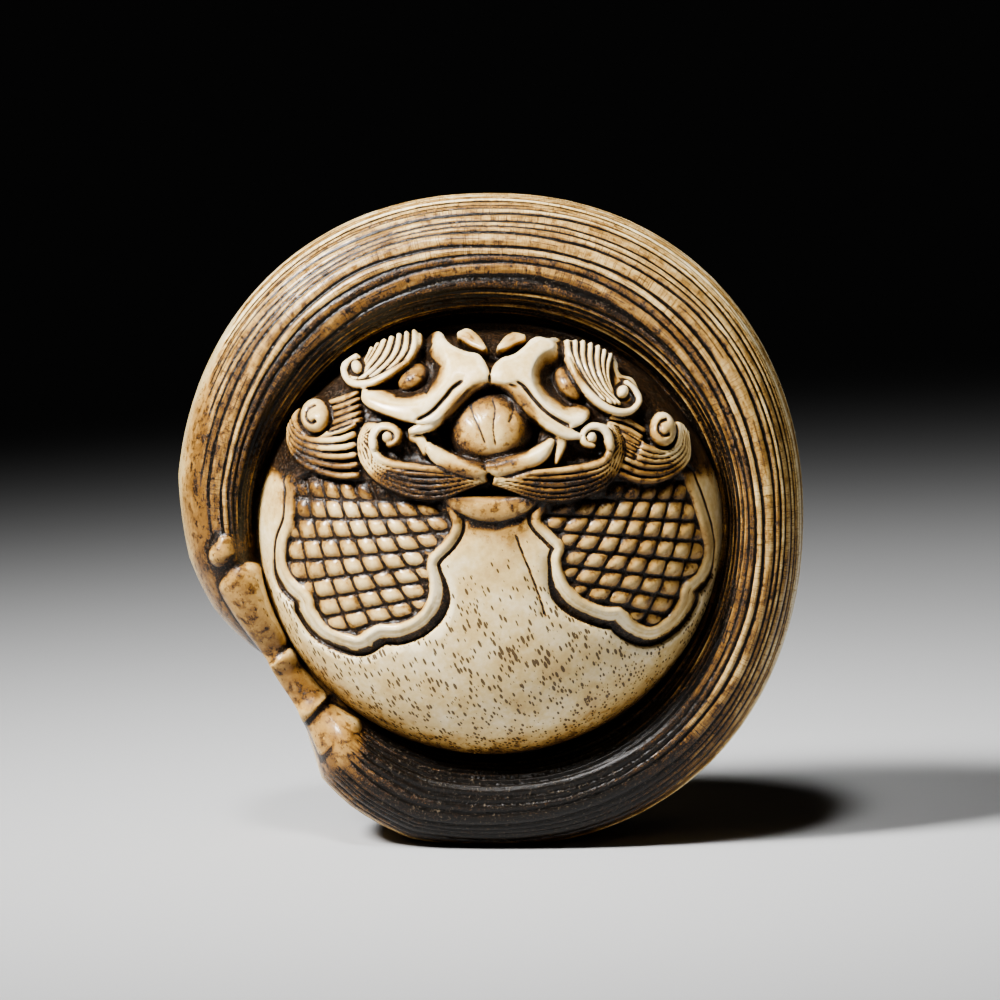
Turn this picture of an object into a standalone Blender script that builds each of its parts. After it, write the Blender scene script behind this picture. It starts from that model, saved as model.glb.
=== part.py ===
# Stag-antler netsuke: a round temple drum of the wooden-fish kind with a fly whisk wound about it.
# Metres, +Z up. The carved face of the drum looks along -Y and stands upright.
# The origin is the middle of the small flat worn on the rim, on which the netsuke stands.

import math

import bmesh
import bpy
import numpy as np

# Drum and ring, seen from the front
DRUM_RADIUS = 0.0160
BAND_SIDE = 0.0057
BAND_END = 0.0065
HANDLE_SEAT = 0.0023
FOOT_WORN = 0.00045

# Depths ahead of and behind the middle plane of the ring
FRONT_CROWN = 0.0125
BACK_CROWN = 0.0115
FRONT_CREVICE = 0.0036
BACK_CREVICE = 0.0038
FRONT_CREST = 0.0066
BACK_CREST = 0.0062

# Whisk hair
STRAND_PITCH = 0.00114
STRAND_GROOVE = 0.00036

# Cord channel in the back
CORD_HOLE_LARGE = 0.0048
CORD_HOLE_SMALL = 0.0036
CORD_HOLE_SPACING = 0.0110
CORD_CHANNEL_DEPTH = 0.0050
CORD_HOLES_BELOW_CENTRE = 0.0020

# Proportions of the ring and of its section
RING_SQUARENESS = 2.15
DRUM_TOP_FLAT = 0.12
CREST_SHARE = 0.35
CREST_TURN = 0.30
TREAD_SQUARENESS = 2.4
CROWN_TURN = math.radians(54)
FULL_CREST_BAND = 0.0050
HAIR_MOUTH = 236.0
HAIR_END = 544.0

# The carving is given in shares of the drum radius, right and up from the drum's centre.
# Heights are in units of one sixteenth of that radius, above the plain dome.
LEVEL = DRUM_RADIUS / 16
SPHERE_STEPS = 8
TRIANGLES = 9300

# How far the lower left of the ring draws in towards the handle, by angle in degrees
DRAWN_IN = (
    (172, 0.0), (187, 0.22), (198, 0.52), (204, 0.74), (211, 1.0),
    (224, 0.90), (229, 0.75), (233, 0.56), (237, 0.32), (244, 0.17), (256, 0.0),
)

# Where the plain antler at the left gives way to hair, as a share of the way from rim to crevice
PLAIN_EDGE = ((110, 0.0), (125, 0.03), (140, 0.12), (158, 0.42), (168, 0.50), (184, 0.56))

# Handle of the whisk from its knob to its mouth: right, up, half-width, height of its ridge
HANDLE = (
    (-1.131, -0.060, 0.040, 6.9), (-1.140, -0.115, 0.066, 7.1), (-1.112, -0.160, 0.050, 6.5),
    (-1.078, -0.215, 0.100, 6.9), (-1.030, -0.315, 0.098, 6.7), (-0.964, -0.439, 0.085, 6.1),
    (-0.922, -0.546, 0.060, 5.3), (-0.900, -0.580, 0.070, 5.6), (-0.867, -0.640, 0.066, 5.2),
    (-0.800, -0.730, 0.070, 5.2), (-0.765, -0.790, 0.088, 5.7), (-0.742, -0.815, 0.076, 5.4),
    (-0.655, -0.915, 0.116, 6.3),
)

# Cartouches of scales: lobes as centre and radius, then slope of rows and lean of columns
CARTOUCHES = (
    (
        ((-0.727, 0.060, 0.162), (-0.592, -0.302, 0.170), (-0.414, -0.184, 0.191),
         (-0.275, 0.050, 0.136), (-0.486, 0.076, 0.191), (-0.620, -0.110, 0.185)),
        8.0, 26.0,
    ),
    (
        ((0.309, 0.080, 0.136), (0.452, -0.129, 0.191), (0.685, -0.243, 0.179),
         (0.770, -0.025, 0.179), (0.698, 0.146, 0.191), (0.507, 0.072, 0.191),
         (0.600, -0.060, 0.200)),
        -12.0, -32.0,
    ),
)
SCALE_PITCH = 0.077

# Height of each form's ridge above the plain dome, and how much lower its sides are
RAISED = {
    "snout": (1.60, 0.30),
    "cheek": (1.60, 0.30),
    "nostril": (0.95, 0.40),
    "upper lip": (1.30, 0.40),
    "lower lip": (1.00, 0.50),
    "fang": (0.90, 0.40),
    "jaw curl": (1.10, 0.45),
    "jaw ball": (1.60, 0.70),
    "mane ball": (1.60, 1.10),
    "brow ball": (1.45, 0.60),
    "slot lip": (0.50, 0.50),
}

# Depth below the plain dome to which each ground is cut
SUNK = {
    "heads": 0.45,
    "top of the heads": 1.55,
    "eye": 0.80,
    "jewel": 1.30,
    "gums": 1.00,
    "slot": 0.70,
    "cartouche": 0.60,
    "cartouche edge": 0.50,
}
CUSHION = 0.62
CARTOUCHE_RIM = 0.22
JEWEL_RISE = 2.3
EYE_RISE = 1.05
COMB_DEPTH = 0.30
MANE_TOP = 0.85
MANE_FALL = 0.45
MANE_LINES = 5.0
MANE_LINE_DEPTH = 0.36
JAW_HAIR_STRANDS = 4
JAW_HAIR_STEP = 0.033
JAW_HAIR_TOP = 0.75
JAW_HAIR_FALL = 0.22

# Forms that both heads share, drawn for the left one: right, up, half-width
HEAD_MASS = (
    (-0.677, 0.445, 0.196), (-0.444, 0.619, 0.238), (-0.402, 0.409, 0.213),
    (-0.169, 0.506, 0.298), (0.0, 0.527, 0.306),
)
SNOUT_ARM = ((-0.224, 0.822, 0.034), (-0.167, 0.767, 0.055), (-0.098, 0.723, 0.078))
NOSTRIL = ((-0.131, 0.828, 0.020), (-0.088, 0.812, 0.034), (-0.042, 0.792, 0.020))
LOWER_LIP = (
    (-0.249, 0.327, 0.018), (-0.169, 0.305, 0.032), (-0.085, 0.279, 0.032), (-0.008, 0.267, 0.020),
)
JAW_HAIR = (
    (-0.017, 0.239, 0.015), (-0.169, 0.216, 0.015), (-0.338, 0.238, 0.015),
    (-0.465, 0.306, 0.015), (-0.520, 0.409, 0.013),
)

# Forms that differ between the heads: left, then right
CHEEKS = (
    ((-0.019, 0.712, 0.050), (-0.098, 0.706, 0.062), (-0.190, 0.636, 0.052), (-0.275, 0.580, 0.049),
     (-0.383, 0.551, 0.047), (-0.491, 0.567, 0.040), (-0.538, 0.590, 0.020)),
    ((0.030, 0.712, 0.050), (0.102, 0.708, 0.062), (0.163, 0.648, 0.050), (0.224, 0.581, 0.044),
     (0.304, 0.534, 0.040), (0.380, 0.510, 0.034), (0.430, 0.502, 0.018)),
)
UPPER_LIPS = (
    ((-0.006, 0.668, 0.026), (-0.086, 0.626, 0.032), (-0.154, 0.565, 0.034),
     (-0.235, 0.500, 0.032), (-0.322, 0.462, 0.020)),
    ((0.022, 0.668, 0.026), (0.085, 0.642, 0.032), (0.137, 0.594, 0.034),
     (0.202, 0.524, 0.032), (0.291, 0.470, 0.028), (0.365, 0.436, 0.018)),
)
EYES = ((-0.342, 0.674, 0.070, 0.048, 32.0), (0.338, 0.631, 0.070, 0.042, -49.0))
BROWS = (
    ((-0.592, 0.671, 0.038), (-0.507, 0.705, 0.064), (-0.414, 0.764, 0.068),
     (-0.338, 0.807, 0.051), (-0.296, 0.837, 0.021)),
    ((0.584, 0.590, 0.058), (0.533, 0.602, 0.068), (0.457, 0.662, 0.072),
     (0.381, 0.734, 0.060), (0.326, 0.798, 0.021)),
)
BROW_BALLS = ((-0.572, 0.690, 0.034), (0.577, 0.600, 0.036))
MANE_BALLS = ((-0.744, 0.496, 0.053), (0.736, 0.449, 0.051))
JAW_BALLS = ((-0.427, 0.426, 0.040), (0.430, 0.419, 0.046))
JAW_CURLS = (
    ((-0.431, 0.478, 0.020), (-0.482, 0.453, 0.022), (-0.497, 0.393, 0.022),
     (-0.461, 0.340, 0.022), (-0.393, 0.314, 0.022), (-0.275, 0.312, 0.016)),
    ((0.431, 0.478, 0.020), (0.490, 0.444, 0.022), (0.505, 0.387, 0.022),
     (0.478, 0.336, 0.022), (0.414, 0.300, 0.022), (0.296, 0.282, 0.016)),
)
FANGS = (
    ((-0.300, 0.426, 0.024), (-0.279, 0.352, 0.010)),
    ((0.296, 0.418, 0.026), (0.279, 0.323, 0.010)),
)

# The jewel between the heads, the gums beside it, and the drum's slot below with its lip
JEWEL = (0.008, 0.476, 0.183, 0.153)
GUMS = ((-0.27, 0.41, 0.075), (0.28, 0.40, 0.075))
SLOT = (0.008, 0.205, 0.225, 0.070)
SLOT_LIP = (
    (-0.200, 0.190, 0.018), (-0.110, 0.148, 0.045), (0.008, 0.128, 0.056),
    (0.126, 0.148, 0.045), (0.216, 0.190, 0.018),
)


def ramp(value, low, high):
    """Eased step from 0 at low to 1 at high."""
    t = np.clip((value - low) / (high - low), 0.0, 1.0)
    return t * t * (3 - 2 * t)


def table(value, rows):
    rows = np.array(rows)
    return np.interp(value, rows[:, 0], rows[:, 1])


def ring_radius(theta):
    """Outline of the ring about the drum's centre, with the draw-in along the handle."""
    half_width = DRUM_RADIUS + BAND_SIDE
    below = np.where(np.sin(theta) < 0, FOOT_WORN, 0.0)
    half_height = DRUM_RADIUS + BAND_END + below
    n = RING_SQUARENESS
    across = (np.abs(np.cos(theta)) / half_width) ** n
    upright = (np.abs(np.sin(theta)) / half_height) ** n
    plain = (across + upright) ** (-1 / n)
    seated = DRUM_RADIUS + HANDLE_SEAT
    return plain - (plain - seated) * table(np.degrees(theta) % 360, DRAWN_IN)


def drum_radius(theta):
    return DRUM_RADIUS * (1 - DRUM_TOP_FLAT * np.clip(np.sin(theta), 0, 1) ** 1.5)


def section(lean, theta, crown, crevice, crest):
    """Radius and depth of the plain surface; lean is 0 at the crown and a right angle at the rim."""
    lean = np.clip(lean, 0, math.pi / 2)
    drum = drum_radius(theta)
    band = ring_radius(theta) - drum
    crest = crevice + (crest - crevice) * np.clip(band / FULL_CREST_BAND, 0, 1) ** 1.5
    turn = np.clip(lean / CROWN_TURN, 0, 1) * math.pi / 2
    run = np.clip((lean - CROWN_TURN) / (math.pi / 2 - CROWN_TURN), 0, 1)
    rise = np.clip(run / CREST_TURN, 0, 1)
    fall = np.clip((run - CREST_TURN) / (1 - CREST_TURN), 0, 1) * math.pi / 2
    square = 2 / TREAD_SQUARENESS
    across = np.where(
        run < CREST_TURN,
        CREST_SHARE * rise,
        CREST_SHARE + (1 - CREST_SHARE) * np.sin(fall) ** square,
    )
    height = np.where(
        run < CREST_TURN,
        crevice + (crest - crevice) * np.sin(rise * math.pi / 2),
        crest * np.clip(np.cos(fall), 0, 1) ** square,
    )
    on_dome = lean < CROWN_TURN
    radius = np.where(on_dome, drum * np.sin(turn), drum + band * across)
    depth = np.where(on_dome, crevice + (crown - crevice) * np.cos(turn), height)
    return radius, depth


def way_from_rim(lean, theta, crevice, crest):
    """Length along the band's section from the rim inwards, and the same as a share of the whole."""
    samples = np.linspace(CROWN_TURN, math.pi / 2, 300)
    flat = np.zeros_like(samples)
    radius, depth = section(samples, flat, FRONT_CROWN, FRONT_CREVICE, FRONT_CREST)
    steps = np.hypot(np.diff(radius), np.diff(depth))
    inward = np.concatenate([[0.0], np.cumsum(steps)])
    share = 1 - np.interp(lean, samples, inward / inward[-1])
    band = ring_radius(theta) - drum_radius(theta)
    outer = math.pi / 2 * np.sqrt((((1 - CREST_SHARE) * band) ** 2 + crest**2) / 2)
    inner = np.hypot(CREST_SHARE * band, crest - crevice)
    return share * (outer + inner), share


def curve_through(knots, steps=6):
    """Smooth curve through the knots, with each knot's further values carried along."""
    knots = np.array(knots, float)
    ends = np.vstack([2 * knots[0] - knots[1], knots, 2 * knots[-1] - knots[-2]])
    rows = []
    for i in range(1, len(ends) - 2):
        a, b, c, d = ends[i - 1 : i + 3]
        for t in np.arange(steps) / steps:
            bend = (2 * a - 5 * b + 4 * c - d) * t**2 + (3 * b - a - 3 * c + d) * t**3
            rows.append(b + 0.5 * ((c - a) * t + bend))
    rows.append(knots[-1])
    return np.array(rows)


def nearest(points, path):
    """For each point: distance to the path, share of its length, side, and its values there."""
    count = len(points)
    gap = np.full(count, np.inf)
    share = np.zeros(count)
    side = np.zeros(count)
    values = np.zeros((count, path.shape[1] - 2))
    lengths = np.hypot(*np.diff(path[:, :2], axis=0).T)
    begun = np.concatenate([[0.0], np.cumsum(lengths)]) / lengths.sum()
    for i in range(len(path) - 1):
        start = path[i, :2]
        run = path[i + 1, :2] - start
        t = np.clip((points - start) @ run / (run @ run), 0, 1)
        off = points - start - t[:, None] * run
        away = np.hypot(off[:, 0], off[:, 1])
        closer = away < gap
        gap[closer] = away[closer]
        share[closer] = (begun[i] + t * (begun[i + 1] - begun[i]))[closer]
        side[closer] = np.sign(run[0] * off[:, 1] - run[1] * off[:, 0])[closer]
        here = path[i, 2:] + t[:, None] * (path[i + 1, 2:] - path[i, 2:])
        values[closer] = here[closer]
    return gap, share, side, values


def paint(level, cover, height):
    """Carve: where cover is 1 the surface stands at height, whatever was there."""
    return level + (height - level) * cover


def stroke(level, points, knots, height, drop, soft=0.012):
    """A raised stroke with a rounded back; its sides are drop lower than its ridge."""
    gap, _, _, values = nearest(points, curve_through(knots))
    half = values[:, 0]
    back = np.sqrt(np.clip(1 - (gap / half) ** 2, 0, 1))
    cover = 1 - ramp(gap, half - soft / 2, half + soft / 2)
    return paint(level, cover, height - drop * (1 - back))


def ball(level, points, centre_radius, height, drop, soft=0.012):
    """A rounded knob."""
    x, y, radius = centre_radius
    gap = np.hypot(points[:, 0] - x, points[:, 1] - y)
    back = np.sqrt(np.clip(1 - (gap / radius) ** 2, 0, 1))
    cover = 1 - ramp(gap, radius - soft / 2, radius + soft / 2)
    return paint(level, cover, height - drop * (1 - back))


def oval(points, x, y, half_long, half_short, tilt=0.0):
    """1 on the oval's edge, less inside it."""
    turn = math.radians(tilt)
    right = points[:, 0] - x
    up = points[:, 1] - y
    along = (right * math.cos(turn) + up * math.sin(turn)) / half_long
    across = (up * math.cos(turn) - right * math.sin(turn)) / half_short
    return np.hypot(along, across)


def mirrored(knots):
    """The same form on the right of the jewel's middle."""
    return tuple((2 * JEWEL[0] - row[0],) + tuple(row[1:]) for row in knots)


def inside_circles(points, circles):
    """Distance to the edge of the circles' union, below zero inside."""
    edge = np.full(len(points), np.inf)
    for x, y, radius in circles:
        edge = np.minimum(edge, np.hypot(points[:, 0] - x, points[:, 1] - y) - radius)
    return edge


def cartouche(level, points, lobes, row_slope, column_lean):
    """A lobed rim round a sunk field of scales."""
    edge = inside_circles(points, lobes)
    row = math.radians(row_slope)
    column = math.radians(column_lean)
    rows = (points[:, 1] * math.cos(row) - points[:, 0] * math.sin(row)) / SCALE_PITCH
    columns = (points[:, 0] * math.cos(column) + points[:, 1] * math.sin(column)) / SCALE_PITCH
    cushion = np.sqrt(np.abs(np.sin(math.pi * rows) * np.sin(math.pi * columns)))
    level = paint(level, 1 - ramp(edge, 0.022, 0.052), -SUNK["cartouche edge"])
    rim = CARTOUCHE_RIM - 0.30 * ((edge + 0.024) / 0.026) ** 2
    level = paint(level, 1 - ramp(edge, 0.0, 0.014), rim)
    scales = CUSHION * cushion - SUNK["cartouche"]
    return paint(level, 1 - ramp(edge, -0.058, -0.046), scales)


def brow(level, points, knots, flip):
    """A fan-shaped brow with comb lines that run along it."""
    gap, share, side, values = nearest(points, curve_through(knots))
    half = values[:, 0]
    across = (flip * side * gap + half) / (2 * half)
    comb = np.abs(np.sin(math.pi * (4.5 * across + 2.2 * share)))
    cover = 1 - ramp(gap, half - 0.006, half + 0.006)
    rounded = np.sqrt(np.clip(1 - (gap / (1.05 * half)) ** 2, 0, 1))
    return paint(level, cover, 0.45 + 0.75 * rounded + COMB_DEPTH * (np.sqrt(comb) - 1))


def mane(level, points, centre_radius, outward):
    """Hair that turns round the ball behind the jaw and streams in under the cheek."""
    x, y, _ = centre_radius
    out = (points[:, 0] - x) * outward
    up = points[:, 1] - y
    reach_x = np.where(out > 0, 0.115, 0.360)
    reach_y = np.where(up > 0, 0.110, 0.235)
    ring = np.hypot(out / reach_x, up / reach_y)
    lines = np.sqrt(np.abs(np.sin(math.pi * MANE_LINES * ring)))
    cover = 1 - ramp(ring, 0.96, 1.04)
    height = MANE_TOP - MANE_FALL * ring + MANE_LINE_DEPTH * (lines - 1)
    return paint(level, cover, height)


def eye(level, points, x, y, half_long, half_short, tilt):
    """A bulging eye in its socket."""
    shape = oval(points, x, y, half_long, half_short, tilt)
    level = paint(level, 1 - ramp(shape, 1.15, 1.5), -SUNK["eye"])
    bulge = np.sqrt(np.clip(1 - shape**2, 0, 1))
    return paint(level, 1 - ramp(shape, 0.94, 1.06), EYE_RISE * bulge - SUNK["heads"])


def beard(level, points, knots):
    """Strands below the jaw, each a little lower than the one before."""
    last = len(knots) - 1
    for strand in range(JAW_HAIR_STRANDS):
        fallen = JAW_HAIR_STEP * strand
        hair = [(x, y - fallen * (1 - 0.5 * i / last), w) for i, (x, y, w) in enumerate(knots)]
        level = stroke(level, points, hair, JAW_HAIR_TOP - JAW_HAIR_FALL * strand, 0.35)
    return level


def head(level, points, left):
    """One dragon head; the jewel lies between its jaws and those of the other."""
    i = 0 if left else 1
    outward = -1 if left else 1

    def own(knots):
        return knots if left else mirrored(knots)

    level = mane(level, points, MANE_BALLS[i], outward)
    level = beard(level, points, own(JAW_HAIR))
    level = eye(level, points, *EYES[i])
    level = brow(level, points, BROWS[i], outward)
    level = ball(level, points, BROW_BALLS[i], *RAISED["brow ball"])
    level = stroke(level, points, own(LOWER_LIP), *RAISED["lower lip"])
    level = stroke(level, points, FANGS[i], *RAISED["fang"])
    level = stroke(level, points, UPPER_LIPS[i], *RAISED["upper lip"])
    level = stroke(level, points, own(NOSTRIL), *RAISED["nostril"])
    level = stroke(level, points, own(SNOUT_ARM), *RAISED["snout"])
    level = stroke(level, points, CHEEKS[i], *RAISED["cheek"])
    level = stroke(level, points, JAW_CURLS[i], *RAISED["jaw curl"])
    level = ball(level, points, JAW_BALLS[i], *RAISED["jaw ball"])
    return ball(level, points, MANE_BALLS[i], *RAISED["mane ball"])


def face(points):
    """Height of the carving above the plain dome at each point of the drum's face."""
    level = np.zeros(len(points))
    for lobes, row_slope, column_lean in CARTOUCHES:
        level = cartouche(level, points, lobes, row_slope, column_lean)
    mass = inside_circles(points, HEAD_MASS + mirrored(HEAD_MASS))
    top = ramp(points[:, 1], 0.64, 0.82)
    ground = SUNK["heads"] + (SUNK["top of the heads"] - SUNK["heads"]) * top
    level = paint(level, 1 - ramp(mass, -0.03, 0.01), -ground)
    level = paint(level, 1 - ramp(oval(points, *SLOT), 0.85, 1.1), -SUNK["slot"])
    level = stroke(level, points, SLOT_LIP, *RAISED["slot lip"], 0.02)
    shape = oval(points, *JEWEL)
    level = paint(level, 1 - ramp(shape, 1.12, 1.25), -SUNK["jewel"])
    level = paint(level, 1 - ramp(inside_circles(points, GUMS), -0.02, 0.02), -SUNK["gums"])
    level = head(level, points, True)
    level = head(level, points, False)
    dome = JEWEL_RISE * np.sqrt(np.clip(1 - shape**2, 0, 1))
    return paint(level, 1 - ramp(shape, 0.97, 1.05), dome - SUNK["gums"])


def hair_depth(way, share, theta):
    """How far the surface sinks between strands, from 0 on a strand's back to 1."""
    degrees = np.degrees(theta) % 360
    turned = (degrees - HAIR_MOUTH) % 360
    lane = way / STRAND_PITCH
    wander = 0.16 * np.sin(3 * theta + 0.9 * lane) + 0.10 * np.sin(5 * theta - 1.7 * lane)
    ridge = np.sqrt(np.abs(np.sin(math.pi * (lane + wander))))
    plain = np.where(degrees < PLAIN_EDGE[-1][0] + 10, table(degrees, PLAIN_EDGE), 0.0)
    length = HAIR_END - HAIR_MOUTH
    present = ramp(turned, 0, 6) * (1 - ramp(turned, length - 6, length + 2))
    inside = np.where(plain > 0, ramp(share, plain, plain + 0.03), 1.0)
    return (1 - ridge) * present * inside


def netsuke_mesh():
    """The whole carved form: a sphere's points laid on the plain surface, then carved."""
    form = bmesh.new()
    bmesh.ops.create_icosphere(form, subdivisions=SPHERE_STEPS, radius=1.0)
    mesh = bpy.data.meshes.new("netsuke")
    form.to_mesh(mesh)
    form.free()
    count = len(mesh.vertices)
    flat = np.empty(3 * count, np.float32)
    mesh.vertices.foreach_get("co", flat)
    spread = flat.reshape(-1, 3).astype(float)
    spread /= np.linalg.norm(spread, axis=1)[:, None]
    theta = np.arctan2(spread[:, 2], spread[:, 0])
    from_front = np.arccos(np.clip(-spread[:, 1], -1, 1))
    front = from_front <= math.pi / 2
    lean = np.where(front, from_front, math.pi - from_front)
    crown = np.where(front, FRONT_CROWN, BACK_CROWN)
    crevice = np.where(front, FRONT_CREVICE, BACK_CREVICE)
    crest = np.where(front, FRONT_CREST, BACK_CREST)
    radius, depth = section(lean, theta, crown, crevice, crest)
    ahead = section(lean + 0.002, theta, crown, crevice, crest)
    behind = section(lean - 0.002, theta, crown, crevice, crest)
    run = ahead[0] - behind[0]
    fall = behind[1] - ahead[1]
    length = np.maximum(np.hypot(run, fall), 1e-9)
    out = fall / length
    forth = np.maximum(run / length, 0)

    way, share = way_from_rim(lean, theta, crevice, crest)
    on_band = lean > CROWN_TURN
    into = STRAND_GROOVE * hair_depth(way, share, theta) * on_band
    into *= np.where(front, 1.0, 0.8) * ramp(lean, CROWN_TURN, CROWN_TURN + 0.06)
    radius -= out * into
    depth -= forth * into

    place = np.column_stack([np.cos(theta), np.sin(theta)]) * radius[:, None] / DRUM_RADIUS
    gap, _, _, values = nearest(place, curve_through(HANDLE, 5))
    half = values[:, 0]
    back = np.sqrt(np.clip(1 - (gap / half) ** 2, 0, 1))
    ridge = (values[:, 1] - 16 * half * (1 - back)) * LEVEL
    cover = (1 - ramp(gap, half - 0.010, half + 0.010)) * front * on_band
    cover *= 1 - ramp(radius, ring_radius(theta) - 0.0004, ring_radius(theta) - 0.0001)
    depth = np.where(ridge > depth, depth + (ridge - depth) * cover, depth)

    carved = np.flatnonzero(front & (lean < CROWN_TURN))
    height = face(place[carved]) * LEVEL
    edge = np.hypot(*place[carved].T) * DRUM_RADIUS / drum_radius(theta[carved])
    height *= 1 - ramp(edge, 0.975, 1.0)
    slant = forth[carved] + 1.5
    size = np.hypot(out[carved], slant)
    radius[carved] += height * out[carved] / size
    depth[carved] += height * slant / size

    centre_up = DRUM_RADIUS + BAND_END
    points = np.column_stack(
        [
            radius * np.cos(theta),
            np.where(front, -depth, depth),
            radius * np.sin(theta) + centre_up,
        ]
    )
    mesh.vertices.foreach_set("co", points.astype(np.float32).ravel())
    mesh.update()
    return mesh


def tube(name, path, radii, sides=14):
    """A closed tube along a path that lies in a level plane."""
    form = bmesh.new()
    rings = []
    for i, (point, radius) in enumerate(zip(path, radii)):
        run = path[min(i + 1, len(path) - 1)] - path[max(i - 1, 0)]
        across = np.array([-run[1], run[0], 0.0]) / np.hypot(run[0], run[1])
        ring = []
        for turn in np.arange(sides) * 2 * math.pi / sides:
            offset = across * math.cos(turn) + np.array([0, 0, 1.0]) * math.sin(turn)
            ring.append(form.verts.new(point + radius * offset))
        rings.append(ring)
    for first, second in zip(rings, rings[1:]):
        for k in range(sides):
            m = (k + 1) % sides
            form.faces.new((first[k], first[m], second[m], second[k]))
    form.faces.new(rings[0])
    form.faces.new(rings[-1])
    bmesh.ops.recalc_face_normals(form, faces=form.faces)
    mesh = bpy.data.meshes.new(name)
    form.to_mesh(mesh)
    form.free()
    return mesh


def helper(name, mesh):
    """A cutter, which is no piece of the netsuke."""
    cutter = bpy.data.objects.new(name, mesh)
    bpy.context.collection.objects.link(cutter)
    cutter.hide_render = True
    cutter.display_type = "WIRE"
    return cutter


def cord_channel():
    """Bent channel that joins the two cord holes in the back."""
    reach = CORD_HOLE_SPACING / 2
    mouth = math.sqrt(1 - (reach / DRUM_RADIUS) ** 2)
    surface = BACK_CREVICE + (BACK_CROWN - BACK_CREVICE) * mouth
    bend = (reach**2 + CORD_CHANNEL_DEPTH**2) / (2 * CORD_CHANNEL_DEPTH)
    centre = surface - CORD_CHANNEL_DEPTH + bend
    swing = math.asin(min(1.0, reach / bend)) + 0.75
    level = DRUM_RADIUS + BAND_END - CORD_HOLES_BELOW_CENTRE
    path = []
    radii = []
    for share in np.linspace(-1, 1, 13):
        turn = share * swing
        path.append(np.array([bend * math.sin(turn), centre - bend * math.cos(turn), level]))
        mix = (share + 1) / 2
        radii.append((CORD_HOLE_LARGE + (CORD_HOLE_SMALL - CORD_HOLE_LARGE) * mix) / 2)
    return helper("cord_channel_cutter", tube("cord_channel_cutter", path, radii))


def foot_cut():
    """Block below the level on which the netsuke stands."""
    form = bmesh.new()
    bmesh.ops.create_cube(form, size=1.0)
    width = 2 * (DRUM_RADIUS + BAND_SIDE)
    bmesh.ops.scale(form, vec=(width, width, DRUM_RADIUS), verts=form.verts)
    bmesh.ops.translate(form, vec=(0, 0, -DRUM_RADIUS / 2), verts=form.verts)
    mesh = bpy.data.meshes.new("foot_cutter")
    form.to_mesh(mesh)
    form.free()
    return helper("foot_cutter", mesh)


def antler():
    material = bpy.data.materials.new("antler")
    material.use_nodes = True
    shader = material.node_tree.nodes["Principled BSDF"]
    shader.inputs["Base Color"].default_value = (0.66, 0.50, 0.30, 1)
    shader.inputs["Roughness"].default_value = 0.32
    shader.inputs["Metallic"].default_value = 0.0
    return material


def build():
    for old in list(bpy.data.objects):
        bpy.data.objects.remove(old)
    piece = bpy.data.objects.new("netsuke", netsuke_mesh())
    bpy.context.collection.objects.link(piece)
    piece.data.materials.append(antler())
    thin = piece.modifiers.new("fewer_faces", "DECIMATE")
    thin.ratio = TRIANGLES / len(piece.data.polygons)
    for cutter in (foot_cut(), cord_channel()):
        cut = piece.modifiers.new(cutter.name, "BOOLEAN")
        cut.operation = "DIFFERENCE"
        cut.solver = "EXACT"
        cut.object = cutter
    return piece


build()
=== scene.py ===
# The stag-antler netsuke as the photograph shows it: the carving at its full fineness on the
# form of the solid, the stains and pores of the antler, some painted shade, a pale floor, studio
# light and the camera.
# Metres, +Z up, the carved face towards -Y.

import math

import bmesh
import bpy
import numpy as np
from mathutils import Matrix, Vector


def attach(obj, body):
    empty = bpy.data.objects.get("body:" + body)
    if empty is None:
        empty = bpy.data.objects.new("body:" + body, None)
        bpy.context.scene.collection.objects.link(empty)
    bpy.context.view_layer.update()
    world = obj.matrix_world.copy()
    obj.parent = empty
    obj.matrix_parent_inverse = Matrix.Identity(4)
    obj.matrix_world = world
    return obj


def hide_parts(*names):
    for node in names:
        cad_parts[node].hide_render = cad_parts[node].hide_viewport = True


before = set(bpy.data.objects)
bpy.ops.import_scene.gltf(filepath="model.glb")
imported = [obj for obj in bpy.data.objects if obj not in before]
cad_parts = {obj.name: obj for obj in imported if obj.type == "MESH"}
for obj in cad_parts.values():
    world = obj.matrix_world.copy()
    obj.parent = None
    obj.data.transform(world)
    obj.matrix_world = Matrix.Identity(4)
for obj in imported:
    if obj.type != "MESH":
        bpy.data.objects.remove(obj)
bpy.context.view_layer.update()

# The photograph: a long lens a little above the middle of the netsuke
PHOTO_SIDE = 1000
PIXELS_PER_METRE = 14420
MIDDLE_PIXEL = (490, 517)
ELEVATION = math.radians(7.0)
DISTANCE = 0.450
SENSOR = 36.0

# Sizes of the solid, which this fuller carving keeps
DRUM_RADIUS = 0.0160
BAND_SIDE = 0.0057
BAND_END = 0.0065
HANDLE_SEAT = 0.0023
FOOT_WORN = 0.00045
FRONT_CROWN = 0.0125
BACK_CROWN = 0.0115
FRONT_CREVICE = 0.0036
BACK_CREVICE = 0.0038
FRONT_CREST = 0.0066
BACK_CREST = 0.0062
CORD_HOLE_LARGE = 0.0048
CORD_HOLE_SMALL = 0.0036
CORD_HOLE_SPACING = 0.0110
CORD_CHANNEL_DEPTH = 0.0050
CORD_HOLES_BELOW_CENTRE = 0.0020
RING_SQUARENESS = 2.15
DRUM_TOP_FLAT = 0.12
CREST_SHARE = 0.35
CREST_TURN = 0.30
TREAD_SQUARENESS = 2.4
CROWN_TURN = math.radians(54)
FULL_CREST_BAND = 0.0050
HAIR_MOUTH = 236.0
HAIR_END = 544.0
CENTRE_UP = DRUM_RADIUS + BAND_END

# Fineness of the mesh
SPHERE_STEPS = 9
TRIANGLES = 188000
NEAR_ROUNDS, WIDE_ROUNDS, BROAD_ROUNDS = ((18, 80, 240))

# Whisk hair: ribbons between cut lines, and finer lines near the drum
RIBBON_PITCH = 0.00063
RIBBON_CUT = 0.00030
FINE_PITCH = 0.00046
FINE_CUT = 0.00030

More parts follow.
